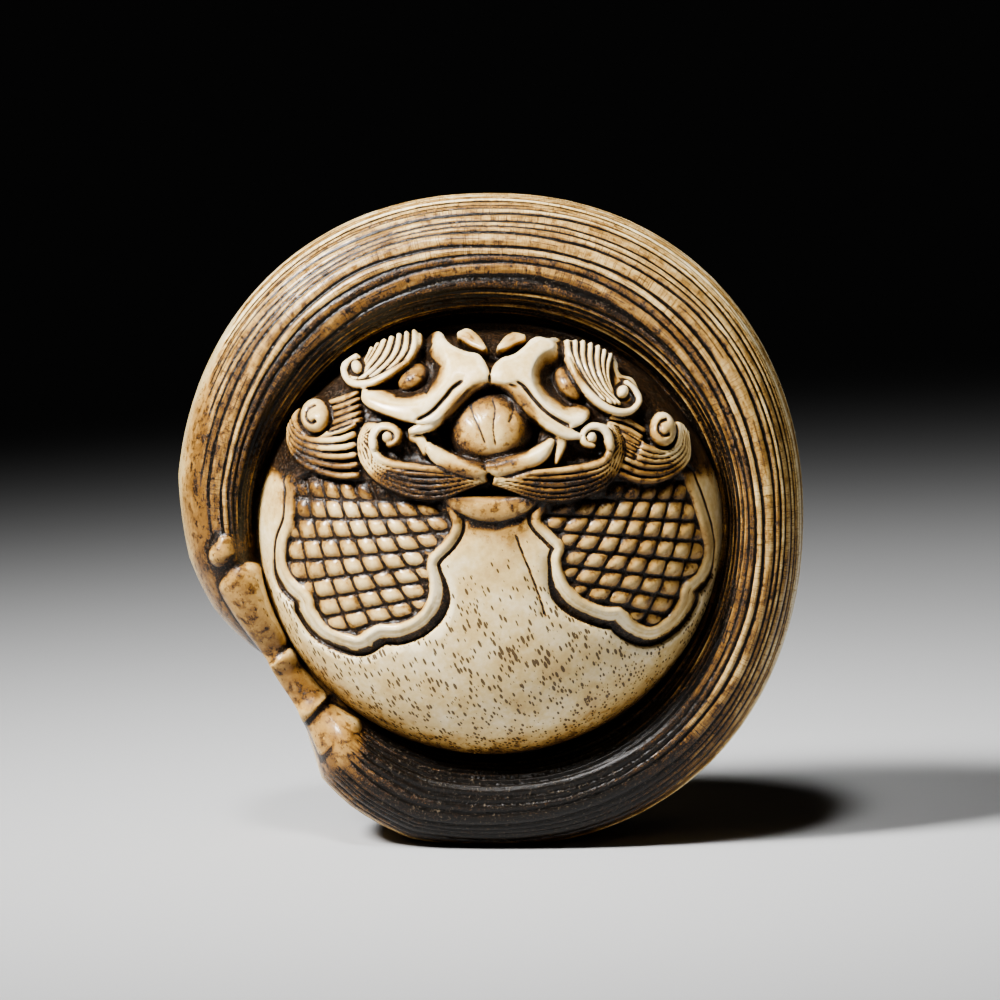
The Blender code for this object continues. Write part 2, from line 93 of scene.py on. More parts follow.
# Carving heights are in units of one sixteenth of the drum's radius, above the plain dome
LEVEL = DRUM_RADIUS / 16
EDGE = 0.011
STRAND_EDGE = 0.006
# Carving rises along the surface's normal, leaned this much more towards the viewer
FORWARD = 1.5

DRAWN_IN = (
    (172, 0.0), (187, 0.22), (198, 0.52), (204, 0.74), (211, 1.0),
    (224, 0.90), (229, 0.75), (233, 0.56), (237, 0.32), (244, 0.17), (256, 0.0),
)
PLAIN_EDGE = ((110, 0.0), (125, 0.03), (140, 0.12), (158, 0.42), (168, 0.50), (184, 0.56))
HANDLE = (
    (-1.131, -0.060, 0.040, 6.9), (-1.140, -0.115, 0.066, 7.1), (-1.112, -0.160, 0.050, 6.5),
    (-1.078, -0.215, 0.100, 6.9), (-1.030, -0.315, 0.098, 6.7), (-0.964, -0.439, 0.085, 6.1),
    (-0.922, -0.546, 0.060, 5.3), (-0.900, -0.580, 0.070, 5.6), (-0.867, -0.640, 0.066, 5.2),
    (-0.800, -0.730, 0.070, 5.2), (-0.765, -0.790, 0.088, 5.7), (-0.742, -0.815, 0.076, 5.4),
    (-0.655, -0.915, 0.116, 6.3),
)

# Cartouches of scales as seen in the photograph, in its pixels: the middle of the rim all round,
# then the slope of the rows, how it grows to the right and downwards, and the lean of the columns
# in degrees with how it grows to the right
CARTOUCHES = (
    (
        ((293, 478), (291, 492), (289, 521), (282, 541), (281, 563), (289, 580), (306, 597),
         (311, 612), (324, 629), (343, 638), (358, 641), (370, 634), (380, 629), (397, 629),
         (416, 621), (429, 607), (434, 587), (431, 565), (436, 555), (448, 543), (456, 528),
         (453, 513), (440, 494), (400, 472), (330, 462)),
        (0.10, 0.10, 0.50), (24.0, 38.0),
    ),
    (
        ((685, 474), (691, 484), (699, 505), (707, 532), (709, 553), (703, 572), (687, 588),
         (683, 604), (671, 620), (652, 631), (633, 625), (620, 612), (607, 612), (580, 601),
         (563, 583), (557, 561), (560, 548), (551, 537), (537, 521), (543, 505), (556, 490),
         (600, 476), (660, 468)),
        (-0.12, -0.05, -0.36), (-26.0, 40.0),
    ),
)
CARTOUCHE_MIDDLES = (-0.5, 0.56)
SCALE_PITCH = 0.077
RIM_HALF = 0.018
RIM_TOP = 0.26
SCALE_FLOOR = -0.56
SCALE_SIDES = 0.42
SCALE_DOME = 0.20
HEAD_MASS = (
    (-0.677, 0.445, 0.196), (-0.444, 0.619, 0.238), (-0.402, 0.409, 0.213),
    (-0.169, 0.506, 0.298), (0.0, 0.527, 0.306),
    (0.693, 0.445, 0.196), (0.460, 0.619, 0.238), (0.418, 0.409, 0.213), (0.185, 0.506, 0.298),
    (-0.45, 0.76, 0.22), (0.0, 0.80, 0.30), (0.46, 0.76, 0.22), (-0.25, 0.80, 0.25),
    (0.26, 0.80, 0.25), (-0.72, 0.56, 0.17), (0.74, 0.55, 0.17),
    (-0.60, 0.66, 0.16), (0.62, 0.66, 0.16), (-0.78, 0.50, 0.13), (0.80, 0.48, 0.13),
)
CRACKS = (
    ((470, 402), (473, 414), (480, 430), (486, 446)),
    ((491, 396), (495, 410), (493, 428), (496, 448)),
    ((514, 402), (512, 414), (508, 424)),
    ((514, 530), (521, 550), (531, 575), (541, 602), (548, 625)),
)
SLOT = (0.008, 0.205, 0.225, 0.070)
SLOT_LIP = (
    (-0.200, 0.190, 0.018), (-0.110, 0.148, 0.045), (0.008, 0.128, 0.056),
    (0.126, 0.148, 0.045), (0.216, 0.190, 0.018),
)
GUMS = ((-0.27, 0.41, 0.075), (0.28, 0.40, 0.075))

# Forms of the heads as seen in the photograph, in its pixels: outlines, then paths with half-widths
PLATES = (
    (
        (440, 336), (446, 338), (454, 344.5), (466, 349.5), (479, 352.5), (486, 361), (490, 371),
        (489, 380), (481, 382), (469, 389), (454, 405.5), (438, 421), (424, 424), (405, 422),
        (387, 416), (368, 408), (360, 400), (362, 391.5), (374, 394.5), (391, 400.5),
        (411, 401.5), (428, 396), (440, 385), (446, 372), (445, 359), (438, 345),
    ),
    (
        (542, 335), (532, 336.5), (524, 344.5), (513.5, 352.5), (501, 356.5), (492, 366),
        (491, 379), (503, 384), (514, 384), (528, 391), (538, 403), (549, 414), (565, 424),
        (574, 428), (584, 424), (587, 419), (582, 415.5), (570, 415), (560, 411.5), (546, 401.5),
        (536, 387.5), (533, 375), (536, 363), (544, 353.5), (555, 348), (553, 340),
    ),
)
UPPER_LIPS = (
    ((489, 379, 6), (474, 384, 7), (460, 395, 7.5), (445, 410, 7.5), (428, 424, 7), (411, 431, 4)),
    ((495, 379, 6), (510, 384, 7.5), (523, 395, 8.5), (536, 410, 8.5), (552, 423, 8),
     (569, 433, 6.5), (578, 436, 4)),
)
LIP_LINES = (
    ((413, 422), (430, 413), (443, 400), (453, 388), (465, 379.5)),
    ((513, 379.5), (524, 386), (533, 397), (544, 409), (560, 420.5), (575, 427)),
)
SOCKET_WALLS = (
    ((433, 343, 9), (439, 360, 9), (436, 378, 10), (426, 391, 10), (407, 398, 8), (387, 396, 7),
     (369, 392, 5)),
    ((557, 351, 9), (545, 360, 10), (539, 373, 10), (543, 389, 10), (553, 402, 9), (568, 410, 8),
     (584, 413, 5)),
)
EYES = ((411.5, 376.5, 16.5, 11.5, 36.0), (569, 383, 18, 11, -52.0))
NOSTRILS = (
    ((460, 334.5, 4), (467, 335.5, 7), (476, 341, 6.5), (484, 347.5, 3.5)),
    ((523, 337.5, 4), (514, 338, 6), (507, 342, 6), (500, 347, 3.5)),
)
BROWS = (
    ((420, 330), (410, 331), (392, 336), (376.5, 341.5), (358, 357), (345, 371), (345, 380),
     (360, 385), (371, 381.5), (389, 373), (409, 362), (420, 346), (422, 337)),
    ((563, 339), (585, 340.5), (604, 348.5), (619, 359), (622, 372), (634, 376), (641, 388),
     (641, 402), (629, 412.5), (614, 411), (600, 401), (590, 390), (578, 380), (567, 365)),
)
BROW_FANS = (
    (
        ((414, 332, 3.0), (414, 343, 3.4), (411, 353, 3.4), (404, 363, 3.2), (398, 369, 2.2)),
        ((399, 336, 3.0), (397, 348, 3.4), (391, 360, 3.4), (381, 370, 3.2), (370, 378, 2.2)),
        ((384, 341, 3.0), (379, 352, 3.4), (371, 364, 3.4), (361, 374, 3.2), (349, 381, 2.4)),
        ((371, 349, 2.6), (368, 357, 3.0), (363, 365, 3.0), (357, 372, 3.0), (350, 377, 2.4)),
    ),
    (
        ((568, 342, 3.0), (569, 352, 3.4), (574, 365, 3.4), (583, 381, 3.2), (597, 397, 2.2)),
        ((583, 343, 3.0), (583, 358, 3.4), (588, 376, 3.4), (598, 392, 3.2), (611, 403, 2.2)),
        ((598, 348, 3.0), (597, 362, 3.4), (600, 377, 3.4), (608, 393, 3.2), (619, 403, 2.2)),
        ((611, 355, 2.6), (608, 366, 3.0), (608, 380, 3.0), (612, 392, 3.0), (618, 399, 2.2)),
    ),
)
BROW_STRANDS = 7
BROW_BALLS = ((355.5, 365.8, 7.5), (624, 391, 8.0))
BROW_CURLS = (
    ((406, 362, 2.4), (387, 374, 3.4), (367, 383, 3.8), (350, 382, 3.6), (343, 371, 3.2),
     (347, 360, 2.8), (356, 355, 2.2)),
    ((568, 358, 2.4), (578, 378, 3.4), (590, 393, 3.6), (602, 404, 3.8), (617, 411, 3.8),
     (631, 411, 3.6), (640, 401, 3.2), (636, 390, 2.8), (627, 382, 2.2)),
)
MANE_BALLS = ((313, 415.5, 16, 13.5, 62.0), (665, 429, 16.5, 12.5, -72.0))
MANES = (
    (
        ((352, 424, 3.2), (340, 430, 3.6), (322, 433, 3.6), (303, 431, 3.6), (294, 420, 3.2),
         (296, 404, 2.6)),
        ((352, 450, 3.2), (340, 452, 3.6), (318, 451, 3.8), (298, 444, 3.6), (288, 427, 3.2),
         (291, 408, 2.6)),
        ((356, 475, 3.0), (340, 476, 3.4), (318, 471, 3.6), (297, 460, 3.4), (287, 442, 3.0),
         (286, 424, 2.4)),
    ),
    (
        ((622, 428, 3.0), (634, 438, 3.4), (648, 448, 3.6), (664, 450, 3.6), (677, 441, 3.4),
         (677, 424, 2.8)),
        ((614, 440, 3.0), (628, 454, 3.4), (646, 462, 3.6), (668, 462, 3.8), (684, 449, 3.6),
         (682, 425, 3.0)),
        ((606, 462, 3.0), (622, 474, 3.4), (644, 481, 3.4), (668, 477, 3.8), (689, 459, 3.6),
         (689, 432, 3.0)),
    ),
)
MANE_STRANDS = 6
MANE_TUFTS = (
    (
        ((330, 402, 2.6), (344, 398, 3.2), (358, 392, 2.4)),
        ((330, 430, 2.6), (345, 424, 3.2), (360, 419, 2.4)),
    ),
    (
        ((612, 417, 2.6), (628, 421, 3.2), (644, 430, 2.6)),
        ((604, 443, 2.6), (618, 449, 3.2), (634, 457, 2.6)),
    ),
)
TUFT_STRANDS = 5
JAW_BALLS = ((387, 437, 8), (592, 437.5, 8))
JAW_CURLS = (
    (
        ((380, 427, 3.2), (373, 436, 4.2), (374, 450, 4.2), (384, 461, 4.0), (412, 467, 3.8),
         (466, 472, 2.8)),
        ((372, 424, 2.4), (366, 439, 3.0), (371, 459, 3.2), (390, 475, 3.4), (430, 484, 3.4),
         (484, 476, 2.4)),
        ((364, 424, 1.8), (358, 441, 2.4), (363, 464, 3.0), (386, 486, 3.2), (432, 498, 3.2),
         (486, 481, 2.2)),
    ),
    (
        ((600, 427, 3.2), (609, 436, 4.2), (610, 451, 4.2), (600, 463, 4.0), (568, 470, 3.8),
         (512, 474, 2.8)),
        ((611, 426, 2.4), (617, 444, 3.0), (612, 464, 3.2), (594, 480, 3.4), (550, 488, 3.4),
         (496, 478, 2.4)),
        ((618, 428, 1.8), (624, 446, 2.4), (618, 470, 3.0), (596, 491, 3.2), (550, 500, 3.2),
         (494, 484, 2.2)),
    ),
)
JAW_STRANDS = 6
LOWER_LIPS = (
    ((427, 446, 4.5), (436, 455, 8), (449, 463, 9.5), (465, 468, 9.5), (479, 470, 8.5),
     (487, 469, 5)),
    ((551, 443, 5), (542, 453, 8.5), (528, 461, 9.5), (510, 466, 10), (496, 468, 9),
     (490, 467, 6)),
)
JAW_SPIRALS = (
    ((388, 445, 2.6), (396, 441, 3.4), (397, 433, 3.8), (390, 427, 4.2), (380, 427, 4.4),
     (373, 435, 4.4), (373, 447, 4.4)),
    ((594, 446, 2.6), (585, 443, 3.4), (583, 434, 3.8), (590, 427, 4.0), (600, 427, 4.2),
     (608, 434, 4.4), (611, 447, 4.4)),
)
HOOKS = (
    ((316, 404), (308, 409), (306, 417), (311, 423), (317, 420)),
    ((668, 419), (661, 422), (659, 430), (664, 436), (670, 433)),
)
FANGS = (
    ((413, 437, 5.5), (420, 440, 6.5), (424, 454, 2.2)),
    ((561, 437, 6.5), (561, 446, 6), (557, 462, 2.4)),
)
JEWEL = (490.5, 427, 43, 37)

# How far the handle has aged, and where the heads are darker: pixel, half-widths and by how much;
# the spots just below the jaws are painted shadow that the jaws cast on the scales
HANDLE_AGE = 0.36
DARKER = (
    (411, 374, 17, 13, 0.26), (568, 383, 15, 15, 0.26), (472, 341, 15, 9, 0.20),
    (512, 340, 14, 8, 0.20), (412, 488, 66, 15, 0.30), (572, 492, 66, 15, 0.30),
    (318, 466, 40, 14, 0.22), (650, 474, 42, 14, 0.26), (640, 440, 28, 20, 0.20),
    (345, 410, 22, 22, 0.12), (430, 474, 44, 8, 0.22), (556, 477, 44, 8, 0.22),
    (410, 494, 50, 9, 0.16), (574, 498, 50, 9, 0.16), (488, 468, 50, 10, 0.16),
    (400, 452, 22, 16, 0.20),
    (590, 458, 24, 16, 0.20), (372, 408, 24, 8, 0.08), (360, 400, 10, 10, 0.06),
)


def ramp(value, low, high):
    """Eased step from 0 at low to 1 at high."""
    t = np.clip((value - low) / (high - low), 0.0, 1.0)
    return t * t * (3 - 2 * t)


def table(value, rows):
    rows = np.array(rows)
    return np.interp(value, rows[:, 0], rows[:, 1])


def ring_radius(theta):
    """Outline of the ring about the drum's centre, with the draw-in along the handle."""
    half_width = DRUM_RADIUS + BAND_SIDE
    below = np.where(np.sin(theta) < 0, FOOT_WORN, 0.0)
    half_height = DRUM_RADIUS + BAND_END + below
    n = RING_SQUARENESS
    across = (np.abs(np.cos(theta)) / half_width) ** n
    upright = (np.abs(np.sin(theta)) / half_height) ** n
    plain = (across + upright) ** (-1 / n)
    seated = DRUM_RADIUS + HANDLE_SEAT
    return plain - (plain - seated) * table(np.degrees(theta) % 360, DRAWN_IN)


def drum_radius(theta):
    return DRUM_RADIUS * (1 - DRUM_TOP_FLAT * np.clip(np.sin(theta), 0, 1) ** 1.5)


def section(lean, theta, crown, crevice, crest):
    """Radius and depth of the plain surface; lean is 0 at the crown and a right angle at the rim."""
    lean = np.clip(lean, 0, math.pi / 2)
    drum = drum_radius(theta)
    band = ring_radius(theta) - drum
    crest = crevice + (crest - crevice) * np.clip(band / FULL_CREST_BAND, 0, 1) ** 1.5
    turn = np.clip(lean / CROWN_TURN, 0, 1) * math.pi / 2
    run = np.clip((lean - CROWN_TURN) / (math.pi / 2 - CROWN_TURN), 0, 1)
    rise = np.clip(run / CREST_TURN, 0, 1)
    fall = np.clip((run - CREST_TURN) / (1 - CREST_TURN), 0, 1) * math.pi / 2
    square = 2 / TREAD_SQUARENESS
    across = np.where(
        run < CREST_TURN,
        CREST_SHARE * rise,
        CREST_SHARE + (1 - CREST_SHARE) * np.sin(fall) ** square,
    )
    height = np.where(
        run < CREST_TURN,
        crevice + (crest - crevice) * np.sin(rise * math.pi / 2),
        crest * np.clip(np.cos(fall), 0, 1) ** square,
    )
    on_dome = lean < CROWN_TURN
    radius = np.where(on_dome, drum * np.sin(turn), drum + band * across)
    depth = np.where(on_dome, crevice + (crown - crevice) * np.cos(turn), height)
    return radius, depth


def way_from_rim(lean, theta, crevice, crest):
    """Length along the band's section from the rim inwards, and the same as a share of the whole."""
    samples = np.linspace(CROWN_TURN, math.pi / 2, 300)
    flat = np.zeros_like(samples)
    radius, depth = section(samples, flat, FRONT_CROWN, FRONT_CREVICE, FRONT_CREST)
    steps = np.hypot(np.diff(radius), np.diff(depth))
    inward = np.concatenate([[0.0], np.cumsum(steps)])
    share = 1 - np.interp(lean, samples, inward / inward[-1])
    band = ring_radius(theta) - drum_radius(theta)
    outer = math.pi / 2 * np.sqrt((((1 - CREST_SHARE) * band) ** 2 + crest**2) / 2)
    inner = np.hypot(CREST_SHARE * band, crest - crevice)
    return share * (outer + inner), share


def seen(x, y, rise):
    """Where on the drum's face a pixel lies: right and up in drum radii, before carving lifts it."""
    right = up = foot_right = foot_up = 0.0
    for _ in range(8):
        span = math.hypot(foot_right, foot_up)
        rim = float(drum_radius(math.atan2(foot_up, foot_right))) / DRUM_RADIUS
        sine = min(span / rim, 0.995)
        cosine = math.sqrt(1 - sine * sine)
        high = FRONT_CROWN - FRONT_CREVICE
        normal = math.hypot(high * sine, rim * DRUM_RADIUS * cosine)
        out = high * sine / normal
        slant = rim * DRUM_RADIUS * cosine / normal + FORWARD
        size = math.hypot(out, slant)
        depth = FRONT_CREVICE + high * cosine + rise * LEVEL * slant / size
        away = DISTANCE - depth * math.cos(ELEVATION) - up * DRUM_RADIUS * math.sin(ELEVATION)
        scale = away / (PIXELS_PER_METRE * DISTANCE)
        right = (x - MIDDLE_PIXEL[0]) * scale / DRUM_RADIUS
        lifted = (MIDDLE_PIXEL[1] - y) * scale + depth * math.sin(ELEVATION)
        up = lifted / math.cos(ELEVATION) / DRUM_RADIUS
        shift = rise * LEVEL * out / size / DRUM_RADIUS
        reach = max(math.hypot(right, up), 1e-6)
        foot_right = right * (1 - shift / reach)
        foot_up = up * (1 - shift / reach)
    return foot_right, foot_up


def share_of(pixels):
    return pixels / PIXELS_PER_METRE / DRUM_RADIUS


def seen_path(rows, rise):
    """A path of pixels, with any half-widths, in drum radii."""
    return [seen(r[0], r[1], rise) + tuple(share_of(w) for w in r[2:]) for r in rows]


def between(curves, t):
    """The curve a share t of the way through a row of curves of as many points."""
    curves = np.array(curves, float)
    at = t * (len(curves) - 1)
    low = min(int(at), len(curves) - 2)
    return curves[low] + (curves[low + 1] - curves[low]) * (at - low)


def curve_through(knots, steps=6):
    """Smooth curve through the knots, with each knot's further values carried along."""
    knots = np.array(knots, float)
    ends = np.vstack([2 * knots[0] - knots[1], knots, 2 * knots[-1] - knots[-2]])
    rows = []
    for i in range(1, len(ends) - 2):
        a, b, c, d = ends[i - 1 : i + 3]
        for t in np.arange(steps) / steps:
            bend = (2 * a - 5 * b + 4 * c - d) * t**2 + (3 * b - a - 3 * c + d) * t**3
            rows.append(b + 0.5 * ((c - a) * t + bend))
    rows.append(knots[-1])
    return np.array(rows)


def nearest(points, path):
    """For each point: distance to the path, share of its length, side, and its values there."""
    count = len(points)
    gap = np.full(count, np.inf)
    share = np.zeros(count)
    side = np.zeros(count)
    values = np.zeros((count, path.shape[1] - 2))
    lengths = np.hypot(*np.diff(path[:, :2], axis=0).T)
    begun = np.concatenate([[0.0], np.cumsum(lengths)]) / lengths.sum()
    for i in range(len(path) - 1):
        start = path[i, :2]
        run = path[i + 1, :2] - start
        t = np.clip((points - start) @ run / max(run @ run, 1e-12), 0, 1)
        off = points - start - t[:, None] * run
        away = np.hypot(off[:, 0], off[:, 1])
        closer = away < gap
        gap[closer] = away[closer]
        share[closer] = (begun[i] + t * (begun[i + 1] - begun[i]))[closer]
        side[closer] = np.sign(run[0] * off[:, 1] - run[1] * off[:, 0])[closer]
        here = path[i, 2:] + t[:, None] * (path[i + 1, 2:] - path[i, 2:])
        values[closer] = here[closer]
    return gap, share, side, values


def close_to(points, path, reach):
    """Indices of the points that lie within reach of the path's bounding box."""
    low = path[:, :2].min(0) - reach
    high = path[:, :2].max(0) + reach
    inside = ((points > low) & (points < high)).all(1)
    return np.flatnonzero(inside)


def paint(level, at, cover, height):
    """Carve: where cover is 1 the surface stands at height, whatever was there."""
    level[at] += (height - level[at]) * cover


def stroke(level, points, knots, height, drop, soft=EDGE):
    """A raised stroke with a rounded back; its sides are drop lower than its ridge."""
    path = curve_through(knots)
    at = close_to(points, path, path[:, 2].max() + soft)
    gap, _, _, values = nearest(points[at], path)
    half = values[:, 0]
    back = np.sqrt(np.clip(1 - (gap / half) ** 2, 0, 1))
    paint(level, at, 1 - ramp(gap, half - soft / 2, half + soft / 2), height - drop * (1 - back))


def cut(level, points, knots, half, depth, fade=0.12):
    """An engraved line, which runs out at both ends."""
    path = curve_through(knots)
    at = close_to(points, path, half)
    gap, share, _, _ = nearest(points[at], path)
    ends = ramp(share, 0, fade) * (1 - ramp(share, 1 - fade, 1))
    level[at] -= depth * np.clip(1 - gap / half, 0, 1) ** 1.2 * ends


def ball(level, points, centre_radius, height, drop, soft=EDGE):
    """A rounded knob."""
    x, y, radius = centre_radius
    gap = np.hypot(points[:, 0] - x, points[:, 1] - y)
    at = np.flatnonzero(gap < radius + soft)
    gap = gap[at]
    back = np.sqrt(np.clip(1 - (gap / radius) ** 2, 0, 1))
    paint(level, at, 1 - ramp(gap, radius - soft / 2, radius + soft / 2), height - drop * (1 - back))


def oval(points, x, y, half_long, half_short, tilt=0.0):
    """1 on the oval's edge, less inside it."""
    turn = math.radians(tilt)
    right = points[:, 0] - x
    up = points[:, 1] - y
    along = (right * math.cos(turn) + up * math.sin(turn)) / half_long
    across = (up * math.cos(turn) - right * math.sin(turn)) / half_short
    return np.hypot(along, across)


def inside_circles(points, circles):
    """Distance to the edge of the circles' union, below zero inside."""
    edge = np.full(len(points), np.inf)
    for x, y, radius in circles:
        edge = np.minimum(edge, np.hypot(points[:, 0] - x, points[:, 1] - y) - radius)
    return edge


def closed_curve(knots, steps=5):
    knots = [tuple(k[:2]) for k in knots]
    ring = curve_through(knots[-2:] + knots + knots[:2], steps)
    return ring[2 * steps : (2 + len(knots)) * steps + 1]


def within(points, outline, margin):
    """The points near an outline or inside it, and how far inside its edge each lies."""
    ring = closed_curve(outline)
    at = close_to(points, ring, margin)
    here = points[at]
    gap, _, _, _ = nearest(here, ring)
    inside = np.zeros(len(here), bool)
    for (x0, y0), (x1, y1) in zip(ring, ring[1:]):
        if y0 == y1:
            continue
        spans = (here[:, 1] > min(y0, y1)) & (here[:, 1] <= max(y0, y1))
        crossing = x0 + (here[:, 1] - y0) * (x1 - x0) / (y1 - y0)
        inside ^= spans & (here[:, 0] < crossing)
    return at, np.where(inside, gap, -gap)


def patch(level, points, outline, height, drop, shoulder, soft=EDGE):
    """A plate of any outline whose edge is rounded over the width of its shoulder."""
    at, depth_in = within(points, outline, soft)
    t = 1 - np.clip(depth_in / shoulder, 0, 1)
    back = np.sqrt(np.clip(1 - t * t, 0, 1))
    paint(level, at, ramp(depth_in, -soft / 2, soft / 2), height - drop * (1 - back))


def socket_wall(level, points, knots, plate):
    """The slope from a plate's edge down into the eye's socket."""
    path = curve_through(knots)
    at = close_to(points, path, 2 * path[:, 2].max())
    gap, _, _, values = nearest(points[at], path)
    from_plate, _, _, _ = nearest(points[at], closed_curve(plate))
    slope = np.maximum(level[at], 1.40 - 26.0 * from_plate)
    paint(level, at, 1 - ramp(gap, 1.3 * values[:, 0], 1.7 * values[:, 0]), slope)


def cartouche(level, points, i):
    """A lobed rim round a sunk field of scales."""
    rim_line, slopes, leans = CARTOUCHES[i]
    at, depth_in = within(points, seen_path(rim_line, 0.2), 0.10)
    here = points[at]
    edge = -depth_in - RIM_HALF
    right = here[:, 0] - CARTOUCHE_MIDDLES[i]
    down = -here[:, 1]
    slope, bend, fan = slopes
    rows = (here[:, 1] - slope * right - 0.5 * bend * right**2 - fan * right * down) / SCALE_PITCH
    lean = np.radians(leans[0] + leans[1] * right)
    columns = (right * np.cos(lean) + here[:, 1] * np.sin(lean)) / SCALE_PITCH
    columns = columns + 0.08 * np.sin(np.floor(rows) * 2.4)
    cushion = np.abs(np.sin(math.pi * rows)) ** 0.15 * np.abs(np.sin(math.pi * columns)) ** 0.15
    dome = np.abs(np.sin(math.pi * rows) * np.sin(math.pi * columns))
    low = ramp(down, 0.10, 0.30)
    width = 0.014 + 0.042 * low
    fall = 0.22 - (0.42 + 0.40 * low) * np.clip(edge / width, 0, 1)
    paint(level, at, 1 - ramp(edge, width, width + 0.010), fall)
    rim = RIM_TOP - 0.20 * ((edge + RIM_HALF) / RIM_HALF) ** 2
    paint(level, at, 1 - ramp(edge, -0.004, 0.006), rim)
    scales = SCALE_SIDES * cushion + SCALE_DOME * dome + SCALE_FLOOR
    paint(level, at, 1 - ramp(edge, -2.5 * RIM_HALF, -1.9 * RIM_HALF), scales)


def head(level, points, i):
    """One dragon head, left or right; the jewel lies between its jaws and those of the other."""
    for t in np.linspace(1, 0, MANE_STRANDS):
        strand = seen_path(between(MANES[i], t), 0.8)
        stroke(level, points, strand, 0.95 - 0.35 * t, 0.42, STRAND_EDGE)
    for t in np.linspace(1, 0, TUFT_STRANDS):
        strand = seen_path(between(MANE_TUFTS[i], t), 0.6)
        stroke(level, points, strand, 0.75 - 0.2 * t, 0.40, STRAND_EDGE)
    x, y, long_half, short_half, tilt = EYES[i]
    place = seen(x, y, 0.4)
    shape = oval(points, *place, share_of(long_half), share_of(short_half), tilt)
    around = np.flatnonzero(shape < 2.0)
    paint(level, around, 1 - ramp(shape[around], 1.15, 1.7), -0.25)
    socket_wall(level, points, seen_path(SOCKET_WALLS[i], 1.0), seen_path(PLATES[i], 1.6))
    bulge = np.sqrt(np.clip(1 - shape[around] ** 2, 0, 1))
    paint(level, around, 1 - ramp(shape[around], 0.95, 1.08), 0.95 * bulge - 0.05)

    patch(level, points, seen_path(BROWS[i], 1.0), 0.90, 0.35, 0.040)
    for t in np.linspace(1, 0, BROW_STRANDS):
        strand = seen_path(between(BROW_FANS[i], t), 1.2)
        stroke(level, points, strand, 1.30 + 0.15 * math.sin(math.pi * t), 0.55, STRAND_EDGE)
    ball(level, points, seen(BROW_BALLS[i][0], BROW_BALLS[i][1], 1.3) + (0.036,), 0.75, 0.0)
    stroke(level, points, seen_path(BROW_CURLS[i], 1.3), 1.45, 0.45, STRAND_EDGE)
    centre = seen(BROW_BALLS[i][0], BROW_BALLS[i][1], 1.5)
    ball(level, points, centre + (share_of(BROW_BALLS[i][2] - 2.0),), 1.62, 0.60)

    centre = seen(JAW_BALLS[i][0], JAW_BALLS[i][1], 1.5)
    ball(level, points, centre + (share_of(JAW_BALLS[i][2] + 1.5),), 0.55, 0.1)
    ball(level, points, centre + (share_of(JAW_BALLS[i][2] - 2.0),), 1.55, 0.60)
    for t in np.linspace(1, 0, JAW_STRANDS):
        strand = seen_path(between(JAW_CURLS[i], t), 0.9)
        stroke(level, points, strand, 1.25 - 0.55 * t, 0.50, STRAND_EDGE)
    stroke(level, points, seen_path(JAW_SPIRALS[i], 1.3), 1.48, 0.50, STRAND_EDGE)
    stroke(level, points, seen_path(LOWER_LIPS[i], 1.0), 1.20, 0.60)
    stroke(level, points, seen_path(FANGS[i], 0.9), 0.95, 0.40)
    stroke(level, points, seen_path(UPPER_LIPS[i], 1.3), 1.38, 0.42)
    patch(level, points, seen_path(PLATES[i], 1.6), 1.66, 0.26, 0.026)
    cut(level, points, seen_path(LIP_LINES[i], 1.5), 0.012, 0.40)
    stroke(level, points, seen_path(NOSTRILS[i], 0.9), 1.05, 0.45)
    x, y, long_half, short_half, tilt = MANE_BALLS[i]
    knob = oval(points, *seen(x, y, 1.2), share_of(long_half), share_of(short_half), tilt)
    bulge = np.sqrt(np.clip(1 - knob**2, 0, 1))
    paint(level, slice(None), 1 - ramp(knob, 1.12, 1.25), 0.30)
    paint(level, slice(None), 1 - ramp(knob, 0.96, 1.06), 0.45 + 1.25 * bulge)
    cut(level, points, seen_path(HOOKS[i], 1.4), 0.012, 0.40, 0.05)


def face(points):
    """Height of the carving above the plain dome at each point of the drum's face."""
    level = np.zeros(len(points))
    everywhere = slice(None)
    cartouche(level, points, 0)
    cartouche(level, points, 1)
    mass = inside_circles(points, HEAD_MASS)
    ground = -0.05 - 1.05 * ramp(points[:, 1], 0.64, 0.80)
    paint(level, everywhere, 1 - ramp(mass, -0.03, 0.01), ground)
    paint(level, everywhere, 1 - ramp(oval(points, *SLOT), 0.85, 1.1), -0.70)
    stroke(level, points, SLOT_LIP, 0.50, 0.50, 0.02)
    shape = oval(points, *seen(JEWEL[0], JEWEL[1], 0.5), share_of(JEWEL[2]), share_of(JEWEL[3]))
    paint(level, everywhere, 1 - ramp(shape, 1.10, 1.25), -0.85)
    paint(level, everywhere, 1 - ramp(inside_circles(points, GUMS), -0.02, 0.02), 0.0)
    dome = 2.05 * np.sqrt(np.clip(1 - shape**2, 0, 1)) - 0.75
    paint(level, everywhere, 1 - ramp(shape, 0.97, 1.04), dome)
    for crack in CRACKS:
        cut(level, points, seen_path(crack, 0.8), 0.008, 0.16)
    head(level, points, 0)
    head(level, points, 1)
    return level


